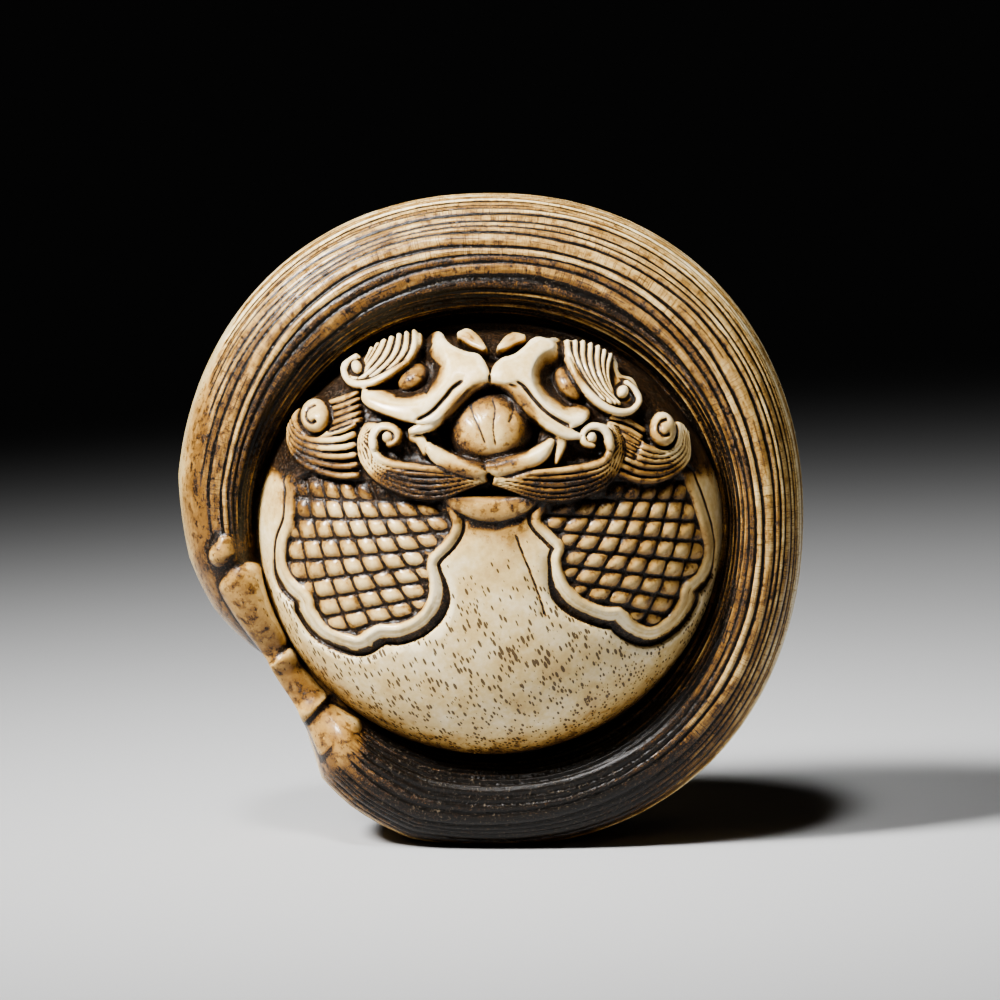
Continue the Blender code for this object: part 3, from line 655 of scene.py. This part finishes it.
def hair(way, share, theta):
    """Depth cut between the ribbons of hair, the lane each point lies in, and where hair is."""
    degrees = np.degrees(theta) % 360
    turned = (degrees - HAIR_MOUTH) % 360
    lane = way / RIBBON_PITCH
    lane = lane + 0.24 * np.sin(1.9 * lane)
    lane = lane + 0.14 * np.sin(3 * theta + 0.7 * lane) + 0.08 * np.sin(5 * theta - 1.3 * lane)
    lane = lane + 0.025 * np.sin(19 * theta + 2.1 * lane)
    ribbon = 1 - np.abs(np.sin(math.pi * lane)) ** 0.38
    number = np.floor(lane)
    lift = 0.5 + 0.5 * np.sin(4.7 * number + 2.0 * theta)
    fine = 1 - np.abs(np.sin(math.pi * way / FINE_PITCH + 0.8 * np.sin(4 * theta))) ** 0.6
    inner = ramp(share, 0.70, 0.78)
    depth = RIBBON_CUT * (ribbon + 0.22 * lift * (1 - ribbon))
    depth = depth * (1 - inner) + inner * (FINE_CUT * fine + 0.5 * RIBBON_CUT * ribbon)
    plain = np.where(degrees < PLAIN_EDGE[-1][0] + 10, table(degrees, PLAIN_EDGE), 0.0)
    plain = plain + np.where(plain > 0, 0.018 * np.sin(23 * theta), 0.0)
    length = HAIR_END - HAIR_MOUTH
    present = ramp(turned, 0, 6) * (1 - ramp(turned, length - 6, length + 2))
    present *= np.where(plain > 0, ramp(share, plain, plain + 0.05), 1.0)
    return depth * present, lane, present, turned / 360


def smoothed(values, edges, rounds):
    """The values averaged over neighbours again and again."""
    first, second = edges
    count = len(values)
    degree = np.bincount(first, minlength=count) + np.bincount(second, minlength=count)
    for _ in range(rounds):
        total = np.bincount(first, weights=values[second], minlength=count)
        total += np.bincount(second, weights=values[first], minlength=count)
        values = 0.5 * values + 0.5 * total / degree
    return values


def give(mesh, name, values):
    """Store a value on each point for the material to read."""
    layer = mesh.attributes.new(name, "FLOAT", "POINT")
    layer.data.foreach_set("value", np.asarray(values, np.float32))


def carved_mesh():
    """The whole carved form: a sphere's points laid on the plain surface, then carved."""
    form = bmesh.new()
    bmesh.ops.create_icosphere(form, subdivisions=SPHERE_STEPS, radius=1.0)
    mesh = bpy.data.meshes.new("carved_antler")
    form.to_mesh(mesh)
    form.free()
    count = len(mesh.vertices)
    flat = np.empty(3 * count, np.float32)
    mesh.vertices.foreach_get("co", flat)
    spread = flat.reshape(-1, 3).astype(float)
    spread /= np.linalg.norm(spread, axis=1)[:, None]
    theta = np.arctan2(spread[:, 2], spread[:, 0])
    from_front = np.arccos(np.clip(-spread[:, 1], -1, 1))
    front = from_front <= math.pi / 2
    lean = np.where(front, from_front, math.pi - from_front)
    crown = np.where(front, FRONT_CROWN, BACK_CROWN)
    crevice = np.where(front, FRONT_CREVICE, BACK_CREVICE)
    crest = np.where(front, FRONT_CREST, BACK_CREST)
    radius, depth = section(lean, theta, crown, crevice, crest)
    ahead = section(lean + 0.002, theta, crown, crevice, crest)
    behind = section(lean - 0.002, theta, crown, crevice, crest)
    run = ahead[0] - behind[0]
    fall = behind[1] - ahead[1]
    length = np.maximum(np.hypot(run, fall), 1e-9)
    out = fall / length
    forth = np.maximum(run / length, 0)

    way, share = way_from_rim(lean, theta, crevice, crest)
    on_band = lean > CROWN_TURN
    cuts, lane, haired, along = hair(way, share, theta)
    into = cuts * on_band * np.where(front, 1.0, 0.8) * ramp(lean, CROWN_TURN, CROWN_TURN + 0.04)
    relief = -into / LEVEL
    radius -= out * into
    depth -= forth * into

    place = np.column_stack([np.cos(theta), np.sin(theta)]) * radius[:, None] / DRUM_RADIUS
    gap, _, _, values = nearest(place, curve_through(HANDLE, 5))
    half = values[:, 0]
    back = np.sqrt(np.clip(1 - (gap / half) ** 2, 0, 1))
    ridge = (values[:, 1] - 16 * half * (1 - back)) * LEVEL
    cover = (1 - ramp(gap, half - 0.010, half + 0.010)) * front * on_band
    cover *= 1 - ramp(radius, ring_radius(theta) - 0.0004, ring_radius(theta) - 0.0001)
    raised = np.where(ridge > depth, (ridge - depth) * cover, 0.0)
    depth += raised
    relief += raised / LEVEL
    haired = haired * (1 - cover)

    carved = np.flatnonzero(front & (lean < CROWN_TURN))
    height = face(place[carved])
    edge = np.hypot(*place[carved].T) * DRUM_RADIUS / drum_radius(theta[carved])
    height *= 1 - ramp(edge, 0.985, 1.0)
    relief[carved] += height
    ground = np.zeros(count)
    ground[carved] = (1 - ramp(height, 0.10, 0.50)) * ramp(place[carved, 1], 0.20, 0.28)
    ground *= 0.26 + 0.34 * ramp(edge_of(lean), 0.66, 0.78)
    slant = forth[carved] + FORWARD
    size = np.hypot(out[carved], slant)
    radius[carved] += height * LEVEL * out[carved] / size
    depth[carved] += height * LEVEL * slant / size

    points = np.column_stack(
        [radius * np.cos(theta), np.where(front, -depth, depth), radius * np.sin(theta) + CENTRE_UP]
    )
    points[:, 2] = np.maximum(points[:, 2], 0.0)
    mesh.vertices.foreach_set("co", points.astype(np.float32).ravel())
    mesh.update()

    pairs = np.empty(2 * len(mesh.edges), np.int32)
    mesh.edges.foreach_get("vertices", pairs)
    edges = (pairs[0::2], pairs[1::2])
    near = smoothed(relief, edges, NEAR_ROUNDS)
    wide = smoothed(near, edges, WIDE_ROUNDS)
    broad = smoothed(wide, edges, BROAD_ROUNDS)
    give(mesh, "groove", near - relief)
    give(mesh, "hollow", wide - relief)
    give(mesh, "halo", broad - near)
    give(mesh, "lane", lane)
    give(mesh, "along", along)
    give(mesh, "haired", haired * on_band)
    # The tint holds the antler's age and painted shade: a darker band underside and lower dome,
    # shadow below the jaws, a lighter band right side.
    age_and_shade = tint(theta, share, on_band, haired, place, front, cover, edge_of(lean))
    give(mesh, "tint", age_and_shade + ground)
    give(mesh, "pores", pores(place, on_band, haired, front))
    return mesh


def edge_of(lean):
    """Share of the way from the drum's crown to its edge."""
    return np.clip(lean / CROWN_TURN, 0, 1)


def tint(theta, share, on_band, haired, place, front, handle, to_edge):
    """How far age, with painted shade added, has darkened the plain antler: 0 ivory, 0.4 honey, 0.7
    umber, 1 black; the band's underside, the lower dome and the spots below the jaws carry painted
    shade, the band's right painted light.
    """
    degrees = np.degrees(theta) % 360
    # Painted shade: the band's underside is darker where light from above does not reach it; painted
    # light: its right side is lighter.
    shaded_bottom = ramp(degrees, 225, 262) * (1 - ramp(degrees, 286, 330))
    right = np.clip(np.cos(theta), 0, 1) * (1 - shaded_bottom)
    left = np.exp(-(((degrees - 165) / 40) ** 2))
    start = 0.42 - 0.04 * right - 0.22 * shaded_bottom - 0.04 * left
    band = 0.23 + 0.17 * ramp(share, start, start + 0.20)
    band = band + 0.24 * ramp(share, start + 0.16, start + 0.46) + 0.16 * ramp(share, 0.84, 0.97)
    band = band + 0.34 * shaded_bottom * ramp(share, 0.10, 0.40) + 0.06 * shaded_bottom - 0.11 * right
    plain = 0.07 + 0.42 * ramp(share, 0.12, 0.55)
    band = np.where(haired > 0.5, band, plain)
    band = band * (1 - handle) + HANDLE_AGE * handle
    x, y = place[:, 0], place[:, 1]
    dome = 0.09 + 0.30 * ramp(to_edge, 0.86, 1.0) * ramp(-x, 0.2, 0.9)
    dome += 0.12 * ramp(to_edge, 0.93, 1.0)
    neck = np.exp(-(((x - 0.008) / 0.24) ** 2 + ((y - 0.13) / 0.10) ** 2))
    dome += 0.34 * neck
    # Painted shade: the lower part of the dome, which curves under away from the light, is darker.
    dome += 0.42 * ramp(to_edge, 0.62, 0.96) * ramp(-y, 0.30, 0.85)
    dome += 0.34 * np.exp(-(((x + 0.80) / 0.10) ** 2 + ((y - 0.26) / 0.22) ** 2))
    mass = inside_circles(place, HEAD_MASS)
    dome += 0.10 * (1 - ramp(mass, -0.03, 0.02))
    for i in (0, 1):
        at, depth_in = within(place, seen_path(CARTOUCHES[i][0], 0.2), 0.05)
        dome[at] += (0.14 + 0.06 * i) * ramp(depth_in, -0.03, 0.02)
    # Darker spots; those just below the jaws are painted shadow cast on the scales.
    for pixel_x, pixel_y, wide, high, amount in DARKER:
        spot_x, spot_y = seen(pixel_x, pixel_y, 0.8)
        away = np.hypot((x - spot_x) / share_of(wide), (y - spot_y) / share_of(high))
        dome += amount * (1 - ramp(away, 0.6, 1.3))
    jewel = oval(place, *seen(JEWEL[0], JEWEL[1], 0.5), share_of(JEWEL[2]), share_of(JEWEL[3]))
    dome += (0.10 + 0.28 * ramp(jewel, 0.55, 0.95)) * (1 - ramp(jewel, 1.0, 1.1))
    return np.where(on_band, band, np.where(front, dome, 0.12 + 0.3 * ramp(to_edge, 0.85, 1.0)))


def pores(place, on_band, haired, front):
    """Where the antler's pores show."""
    mass = inside_circles(place, HEAD_MASS)
    lower = ramp(-place[:, 1], -0.15, 0.45)
    dome = (0.22 + 0.78 * lower) * ramp(mass, 0.0, 0.05)
    for rim_line, _, _ in CARTOUCHES:
        at, depth_in = within(place, seen_path(rim_line, 0.2), 0.05)
        dome[at] *= 1 - ramp(depth_in, -0.05, -0.02)
    band = 0.5 * (1 - haired) + 0.25 * haired
    return np.where(on_band, band, np.where(front, dome, 0.7))


def tube(name, path, radii, sides=24):
    """A closed tube along a path that lies in a level plane."""
    form = bmesh.new()
    rings = []
    for i, (point, radius) in enumerate(zip(path, radii)):
        run = path[min(i + 1, len(path) - 1)] - path[max(i - 1, 0)]
        across = np.array([-run[1], run[0], 0.0]) / np.hypot(run[0], run[1])
        ring = []
        for turn in np.arange(sides) * 2 * math.pi / sides:
            offset = across * math.cos(turn) + np.array([0, 0, 1.0]) * math.sin(turn)
            ring.append(form.verts.new(point + radius * offset))
        rings.append(ring)
    for first, second in zip(rings, rings[1:]):
        for k in range(sides):
            m = (k + 1) % sides
            form.faces.new((first[k], first[m], second[m], second[k]))
    form.faces.new(rings[0])
    form.faces.new(rings[-1])
    bmesh.ops.recalc_face_normals(form, faces=form.faces)
    mesh = bpy.data.meshes.new(name)
    form.to_mesh(mesh)
    form.free()
    return mesh


def cord_channel():
    """Cutter for the bent channel that joins the two cord holes in the back."""
    reach = CORD_HOLE_SPACING / 2
    mouth = math.sqrt(1 - (reach / DRUM_RADIUS) ** 2)
    surface = BACK_CREVICE + (BACK_CROWN - BACK_CREVICE) * mouth
    bend = (reach**2 + CORD_CHANNEL_DEPTH**2) / (2 * CORD_CHANNEL_DEPTH)
    centre = surface - CORD_CHANNEL_DEPTH + bend
    swing = math.asin(min(1.0, reach / bend)) + 0.75
    level = CENTRE_UP - CORD_HOLES_BELOW_CENTRE
    path = []
    radii = []
    for share in np.linspace(-1, 1, 25):
        turn = share * swing
        path.append(np.array([bend * math.sin(turn), centre - bend * math.cos(turn), level]))
        mix = (share + 1) / 2
        radii.append((CORD_HOLE_LARGE + (CORD_HOLE_SMALL - CORD_HOLE_LARGE) * mix) / 2)
    cutter = bpy.data.objects.new("cord_channel", tube("cord_channel", path, radii))
    bpy.context.scene.collection.objects.link(cutter)
    return cutter


def settle(piece):
    """Replace the piece's mesh by what its modifiers make of it."""
    bpy.context.view_layer.update()
    seen_now = piece.evaluated_get(bpy.context.evaluated_depsgraph_get())
    piece.data = bpy.data.meshes.new_from_object(seen_now)
    piece.modifiers.clear()


def carved_antler():
    piece = bpy.data.objects.new("carved_antler", carved_mesh())
    bpy.context.scene.collection.objects.link(piece)
    thin = piece.modifiers.new("fewer_faces", "DECIMATE")
    thin.ratio = TRIANGLES / len(piece.data.polygons)
    channel = cord_channel()
    hole = piece.modifiers.new("cord_holes", "BOOLEAN")
    hole.operation = "DIFFERENCE"
    hole.solver = "EXACT"
    hole.object = channel
    settle(piece)
    bpy.data.objects.remove(channel)
    piece.data.shade_smooth()
    piece.data.materials.clear()
    piece.data.materials.append(antler())
    return piece


class Nodes:
    """Short ways to add shader nodes to a material."""

    def __init__(self, material):
        self.tree = material.node_tree

    def add(self, kind, **settings):
        node = self.tree.nodes.new(kind)
        for key, value in settings.items():
            setattr(node, key, value)
        return node

    def link(self, source, target):
        self.tree.links.new(source, target)

    def feed(self, socket, value):
        if isinstance(value, bpy.types.NodeSocket):
            self.link(value, socket)
        else:
            socket.default_value = value

    def math(self, operation, *values, clamp=False):
        node = self.add("ShaderNodeMath", operation=operation, use_clamp=clamp)
        for socket, value in zip(node.inputs, values):
            self.feed(socket, value)
        return node.outputs[0]

    def attribute(self, name):
        return self.add("ShaderNodeAttribute", attribute_name=name).outputs["Fac"]

    def step(self, value, low, high, to_low=0.0, to_high=1.0):
        node = self.add("ShaderNodeMapRange", interpolation_type="SMOOTHSTEP")
        self.feed(node.inputs["Value"], value)
        self.feed(node.inputs["From Min"], low)
        self.feed(node.inputs["From Max"], high)
        self.feed(node.inputs["To Min"], to_low)
        self.feed(node.inputs["To Max"], to_high)
        return node.outputs["Result"]

    def noise(self, vector, scale, detail=3.0, roughness=0.55):
        node = self.add("ShaderNodeTexNoise")
        self.feed(node.inputs["Vector"], vector)
        node.inputs["Scale"].default_value = scale
        node.inputs["Detail"].default_value = detail
        node.inputs["Roughness"].default_value = roughness
        return node.outputs["Fac"]

    def ramp(self, value, stops):
        node = self.add("ShaderNodeValToRGB")
        self.feed(node.inputs["Fac"], value)
        elements = node.color_ramp.elements
        while len(elements) < len(stops):
            elements.new(0.5)
        for element, (position, colour) in zip(elements, stops):
            element.position = position
            element.color = (*colour, 1.0)
        return node.outputs["Color"]

    def blend(self, share, first, second):
        node = self.add("ShaderNodeMix", data_type="RGBA")
        self.feed(node.inputs["Factor"], share)
        self.feed(node.inputs["A"], first)
        self.feed(node.inputs["B"], second)
        return node.outputs["Result"]

    def stretched(self, position, turn, scale):
        node = self.add("ShaderNodeMapping", vector_type="TEXTURE")
        self.feed(node.inputs["Vector"], position)
        node.inputs["Rotation"].default_value = turn
        node.inputs["Scale"].default_value = scale
        return node.outputs["Vector"]


# Colours along the scale of age, which also carries painted shade.
AGE_AND_SHADE_COLOURS = (
    (0.00, (0.760, 0.640, 0.410)),
    (0.14, (0.600, 0.440, 0.200)),
    (0.32, (0.360, 0.215, 0.070)),
    (0.47, (0.165, 0.082, 0.022)),
    (0.62, (0.050, 0.023, 0.008)),
    (0.80, (0.012, 0.007, 0.004)),
    (1.00, (0.004, 0.003, 0.002)),
)
DUST = (0.150, 0.115, 0.075, 1.0)
PORE = (0.045, 0.020, 0.007, 1.0)

# How much a place ages: in a cut, in a hollow, beside high carving, in the lines of the hair, in
# stains, patches and streaks, and by grit and grain; last, the most that the face ages
CUT_AGE = 0.62
HOLLOW_AGE = 0.32
HALO_AGE = 0.38
LINE_AGE = 0.46
FINE_LINE_AGE = 0.24
CRACK_AGE = 0.26
STAIN_AGE = 0.24
PATCH_AGE = 0.44
STREAK_AGE = 0.62
STRAND_AGE = 0.38
GRIT_AGE = 1.30
GRAIN_AGE = 0.18
OLDEST_FACE = 0.80

# Fineness of each pattern, to the metre
PATCH_SCALE = 420.0
STREAK_SCALE = 500.0
BLOTCH_SCALE = 1700.0
GRAIN_SCALE = 2600.0
PORE_SCALE = 4300.0
SPECK_SCALE = 5200.0
GRIT_SCALE = 6400.0

# Cracks across the hair to a turn of the ring; how the pores lie, and their length in widths
CRACKS_AROUND = 260.0
PORE_TURN = (math.radians(12), math.radians(-24), 0)
PORE_LENGTH = 3.0


def antler():
    """Aged antler: ivory where it is worn, honey to black in the cuts, with brown pores and some
    painted shade.
    """
    material = bpy.data.materials.new("aged_antler_with_painted_shade")
    material.use_nodes = True
    n = Nodes(material)
    shader = material.node_tree.nodes["Principled BSDF"]
    position = n.add("ShaderNodeTexCoord").outputs["Object"]
    groove = n.attribute("groove")
    hollow = n.attribute("hollow")
    # The tint attribute carries age and painted shade as well.
    age_and_shade_here = n.attribute("tint")
    haired = n.attribute("haired")
    pores_here = n.attribute("pores")
    lane = n.attribute("lane")
    along = n.attribute("along")

    patches = n.noise(position, PATCH_SCALE, 4.0)
    blotches = n.step(n.noise(position, BLOTCH_SCALE, 5.0, 0.66), 0.50, 0.66)
    grain = n.noise(position, GRAIN_SCALE, 3.0)
    parts = n.add("ShaderNodeSeparateXYZ")
    n.link(position, parts.inputs[0])
    strand = n.add("ShaderNodeCombineXYZ")
    n.link(n.math("MULTIPLY", lane, 2.6), strand.inputs[0])
    n.link(n.math("MULTIPLY", parts.outputs[0], STREAK_SCALE), strand.inputs[1])
    n.link(n.math("MULTIPLY", parts.outputs[2], STREAK_SCALE), strand.inputs[2])
    streaks = n.noise(strand.outputs[0], 1.0, 4.0, 0.65)

    cutting = n.step(groove, 0.004, 0.075)
    sunk = n.step(hollow, 0.05, 0.90)
    age_and_shade = n.math("MULTIPLY_ADD", cutting, n.math("MULTIPLY_ADD", haired, 0.13, CUT_AGE), age_and_shade_here)
    age_and_shade = n.math("MULTIPLY_ADD", sunk, n.math("MULTIPLY_ADD", haired, 0.10, HOLLOW_AGE), age_and_shade)
    age_and_shade = n.math("MULTIPLY_ADD", n.step(n.attribute("halo"), -0.35, 0.80), HALO_AGE, age_and_shade)
    age_and_shade = n.math("SUBTRACT", age_and_shade, 0.05)
    line = n.math("ABSOLUTE", n.math("SINE", n.math("MULTIPLY", lane, math.pi)))
    lined = n.math("MULTIPLY", n.step(line, 0.58, 0.16), haired)
    age_and_shade = n.math("MULTIPLY_ADD", lined, LINE_AGE, age_and_shade)
    ridge = n.step(groove, -0.015, -0.085)
    worn = n.math("MULTIPLY_ADD", haired, 0.16, 0.10)
    age_and_shade = n.math("SUBTRACT", age_and_shade, n.math("MULTIPLY", ridge, worn))
    chance = n.add("ShaderNodeTexWhiteNoise", noise_dimensions="1D")
    n.link(n.math("FLOOR", lane), chance.inputs["W"])
    strand_age = n.math("MULTIPLY_ADD", chance.outputs["Value"], STRAND_AGE, -STRAND_AGE / 2)
    age_and_shade = n.math("MULTIPLY_ADD", strand_age, haired, age_and_shade)
    stained = n.step(age_and_shade, 0.08, 0.42)
    staining = n.math("MULTIPLY", n.math("MULTIPLY", stained, blotches), STAIN_AGE)
    age_and_shade = n.math("ADD", age_and_shade, staining)
    uneven = n.math("MULTIPLY_ADD", patches, PATCH_AGE, -PATCH_AGE / 2)
    age_and_shade = n.math("ADD", age_and_shade, uneven)
    streaked = n.math("MULTIPLY_ADD", streaks, STREAK_AGE, -STREAK_AGE / 2)
    age_and_shade = n.math("MULTIPLY_ADD", streaked, haired, age_and_shade)
    split = n.add("ShaderNodeTexNoise", noise_dimensions="1D")
    down_strand = n.math("MULTIPLY", along, CRACKS_AROUND)
    down_strand = n.math("MULTIPLY_ADD", n.math("FLOOR", lane), 7.3, down_strand)
    n.link(n.math("MULTIPLY_ADD", grain, 0.25, down_strand), split.inputs["W"])
    split.inputs["Detail"].default_value = 1.0
    off = n.math("ABSOLUTE", n.math("SUBTRACT", split.outputs["Fac"], 0.5))
    cracked = n.math("MULTIPLY", n.step(off, 0.030, 0.008), haired)
    age_and_shade = n.math("MULTIPLY_ADD", cracked, CRACK_AGE, age_and_shade)
    doubled = n.math("ABSOLUTE", n.math("SINE", n.math("MULTIPLY", lane, 2 * math.pi)))
    fine = n.math("MULTIPLY", n.step(doubled, 0.34, 0.10), n.step(patches, 0.46, 0.58))
    age_and_shade = n.math("MULTIPLY_ADD", n.math("MULTIPLY", fine, haired), FINE_LINE_AGE, age_and_shade)
    age_and_shade = n.math("MINIMUM", age_and_shade, n.math("MULTIPLY_ADD", haired, 0.20, OLDEST_FACE))
    rough_ground = n.step(age_and_shade, 0.46, 0.64)
    gritty = n.math("SUBTRACT", n.noise(position, GRIT_SCALE, 3.0, 0.7), 0.5)
    age_and_shade = n.math("MULTIPLY_ADD", n.math("MULTIPLY", gritty, rough_ground), GRIT_AGE, age_and_shade)
    age_and_shade = n.math("MULTIPLY_ADD", n.math("SUBTRACT", grain, 0.5), GRAIN_AGE, age_and_shade, clamp=True)
    colour = n.ramp(age_and_shade, AGE_AND_SHADE_COLOURS)

    drawn_out = n.stretched(position, PORE_TURN, (1.0, 1.0, PORE_LENGTH))
    cells = n.add("ShaderNodeTexVoronoi", feature="F1")
    n.feed(cells.inputs["Vector"], drawn_out)
    cells.inputs["Scale"].default_value = PORE_SCALE
    lot = n.add("ShaderNodeSeparateColor")
    n.link(cells.outputs["Color"], lot.inputs[0])
    size = n.math("MULTIPLY_ADD", lot.outputs[0], 0.40, n.math("MULTIPLY_ADD", patches, 0.7, -0.24))
    size = n.math("MULTIPLY", size, pores_here)
    edge = n.step(n.math("SUBTRACT", size, cells.outputs["Distance"]), -0.02, 0.07)
    colour = n.blend(n.math("MULTIPLY", edge, 0.88), colour, PORE)

    deep = n.step(age_and_shade, 0.62, 0.80)
    specks = n.step(n.noise(position, SPECK_SCALE, 2.0, 0.7), 0.58, 0.70)
    colour = n.blend(n.math("MULTIPLY", n.math("MULTIPLY", deep, specks), 0.50), colour, DUST)
    n.link(colour, shader.inputs["Base Color"])

    rough = n.step(age_and_shade, 0.25, 0.80, 0.24, 0.34)
    n.link(rough, shader.inputs["Roughness"])
    shader.inputs["IOR"].default_value = 1.45
    shader.inputs["Specular IOR Level"].default_value = 0.35

    bump = n.add("ShaderNodeBump")
    bump.inputs["Strength"].default_value = 0.5
    bump.inputs["Distance"].default_value = 0.00006
    height = n.math("MULTIPLY", streaks, haired)
    height = n.math("MULTIPLY_ADD", n.noise(position, SPECK_SCALE, 3.0, 0.7), deep, height)
    height = n.math("SUBTRACT", height, n.math("MULTIPLY", edge, 0.8))
    n.link(height, bump.inputs["Height"])
    n.link(bump.outputs["Normal"], shader.inputs["Normal"])
    return material


# The studio: a pale floor, a key light and a faint one in front, and hardly any light all round
FLOOR_GREY = 0.40
FLOOR_HALF = 1.6
LIGHTS = (
    {"name": "key", "place": (-0.29, -0.24, 0.39), "watts": 0.38, "size": 0.11, "spread": 34},
    {"name": "front", "place": (-0.07, -0.22, 0.43), "watts": 0.024, "size": 0.10, "spread": 14},
)
ALL_ROUND = 0.010


def floor():
    form = bmesh.new()
    bmesh.ops.create_grid(form, x_segments=1, y_segments=1, size=FLOOR_HALF)
    mesh = bpy.data.meshes.new("floor")
    form.to_mesh(mesh)
    form.free()
    ground = bpy.data.objects.new("floor", mesh)
    bpy.context.scene.collection.objects.link(ground)
    material = bpy.data.materials.new("pale_floor")
    material.use_nodes = True
    shader = material.node_tree.nodes["Principled BSDF"]
    shader.inputs["Base Color"].default_value = (FLOOR_GREY, FLOOR_GREY, FLOOR_GREY, 1)
    shader.inputs["Roughness"].default_value = 0.75
    mesh.materials.append(material)


def area_light(name, place, watts, size, spread):
    light = bpy.data.objects.new(name, bpy.data.lights.new(name, "AREA"))
    light.data.energy = watts
    light.data.size = size
    light.data.spread = math.radians(spread)
    light.location = place
    aim = Vector((0, 0, CENTRE_UP))
    light.rotation_euler = (Vector(place) - aim).to_track_quat("Z", "Y").to_euler()
    bpy.context.scene.collection.objects.link(light)


def studio():
    for light in LIGHTS:
        area_light(**light)
    world = bpy.data.worlds.new("studio")
    bpy.context.scene.world = world
    world.use_nodes = True
    sky = world.node_tree.nodes["Background"]
    sky.inputs["Color"].default_value = (ALL_ROUND, ALL_ROUND, ALL_ROUND, 1)


def camera():
    lens = bpy.data.cameras.new("camera")
    lens.sensor_width = SENSOR
    lens.lens = SENSOR * PIXELS_PER_METRE * DISTANCE / PHOTO_SIDE
    lens.shift_x = 0.5 - MIDDLE_PIXEL[0] / PHOTO_SIDE
    lens.shift_y = MIDDLE_PIXEL[1] / PHOTO_SIDE - 0.5
    lens.clip_start = 0.01
    eye = bpy.data.objects.new("camera", lens)
    back_and_up = Vector((0, -math.cos(ELEVATION), math.sin(ELEVATION)))
    eye.location = Vector((0, 0, CENTRE_UP)) + DISTANCE * back_and_up
    eye.rotation_euler = (math.pi / 2 - ELEVATION, 0, 0)
    bpy.context.scene.collection.objects.link(eye)
    bpy.context.scene.camera = eye


bpy.context.scene.view_settings.look = "AgX - Medium High Contrast"
camera()
studio()
floor()
netsuke = carved_antler()
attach(netsuke, "root")
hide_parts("netsuke")
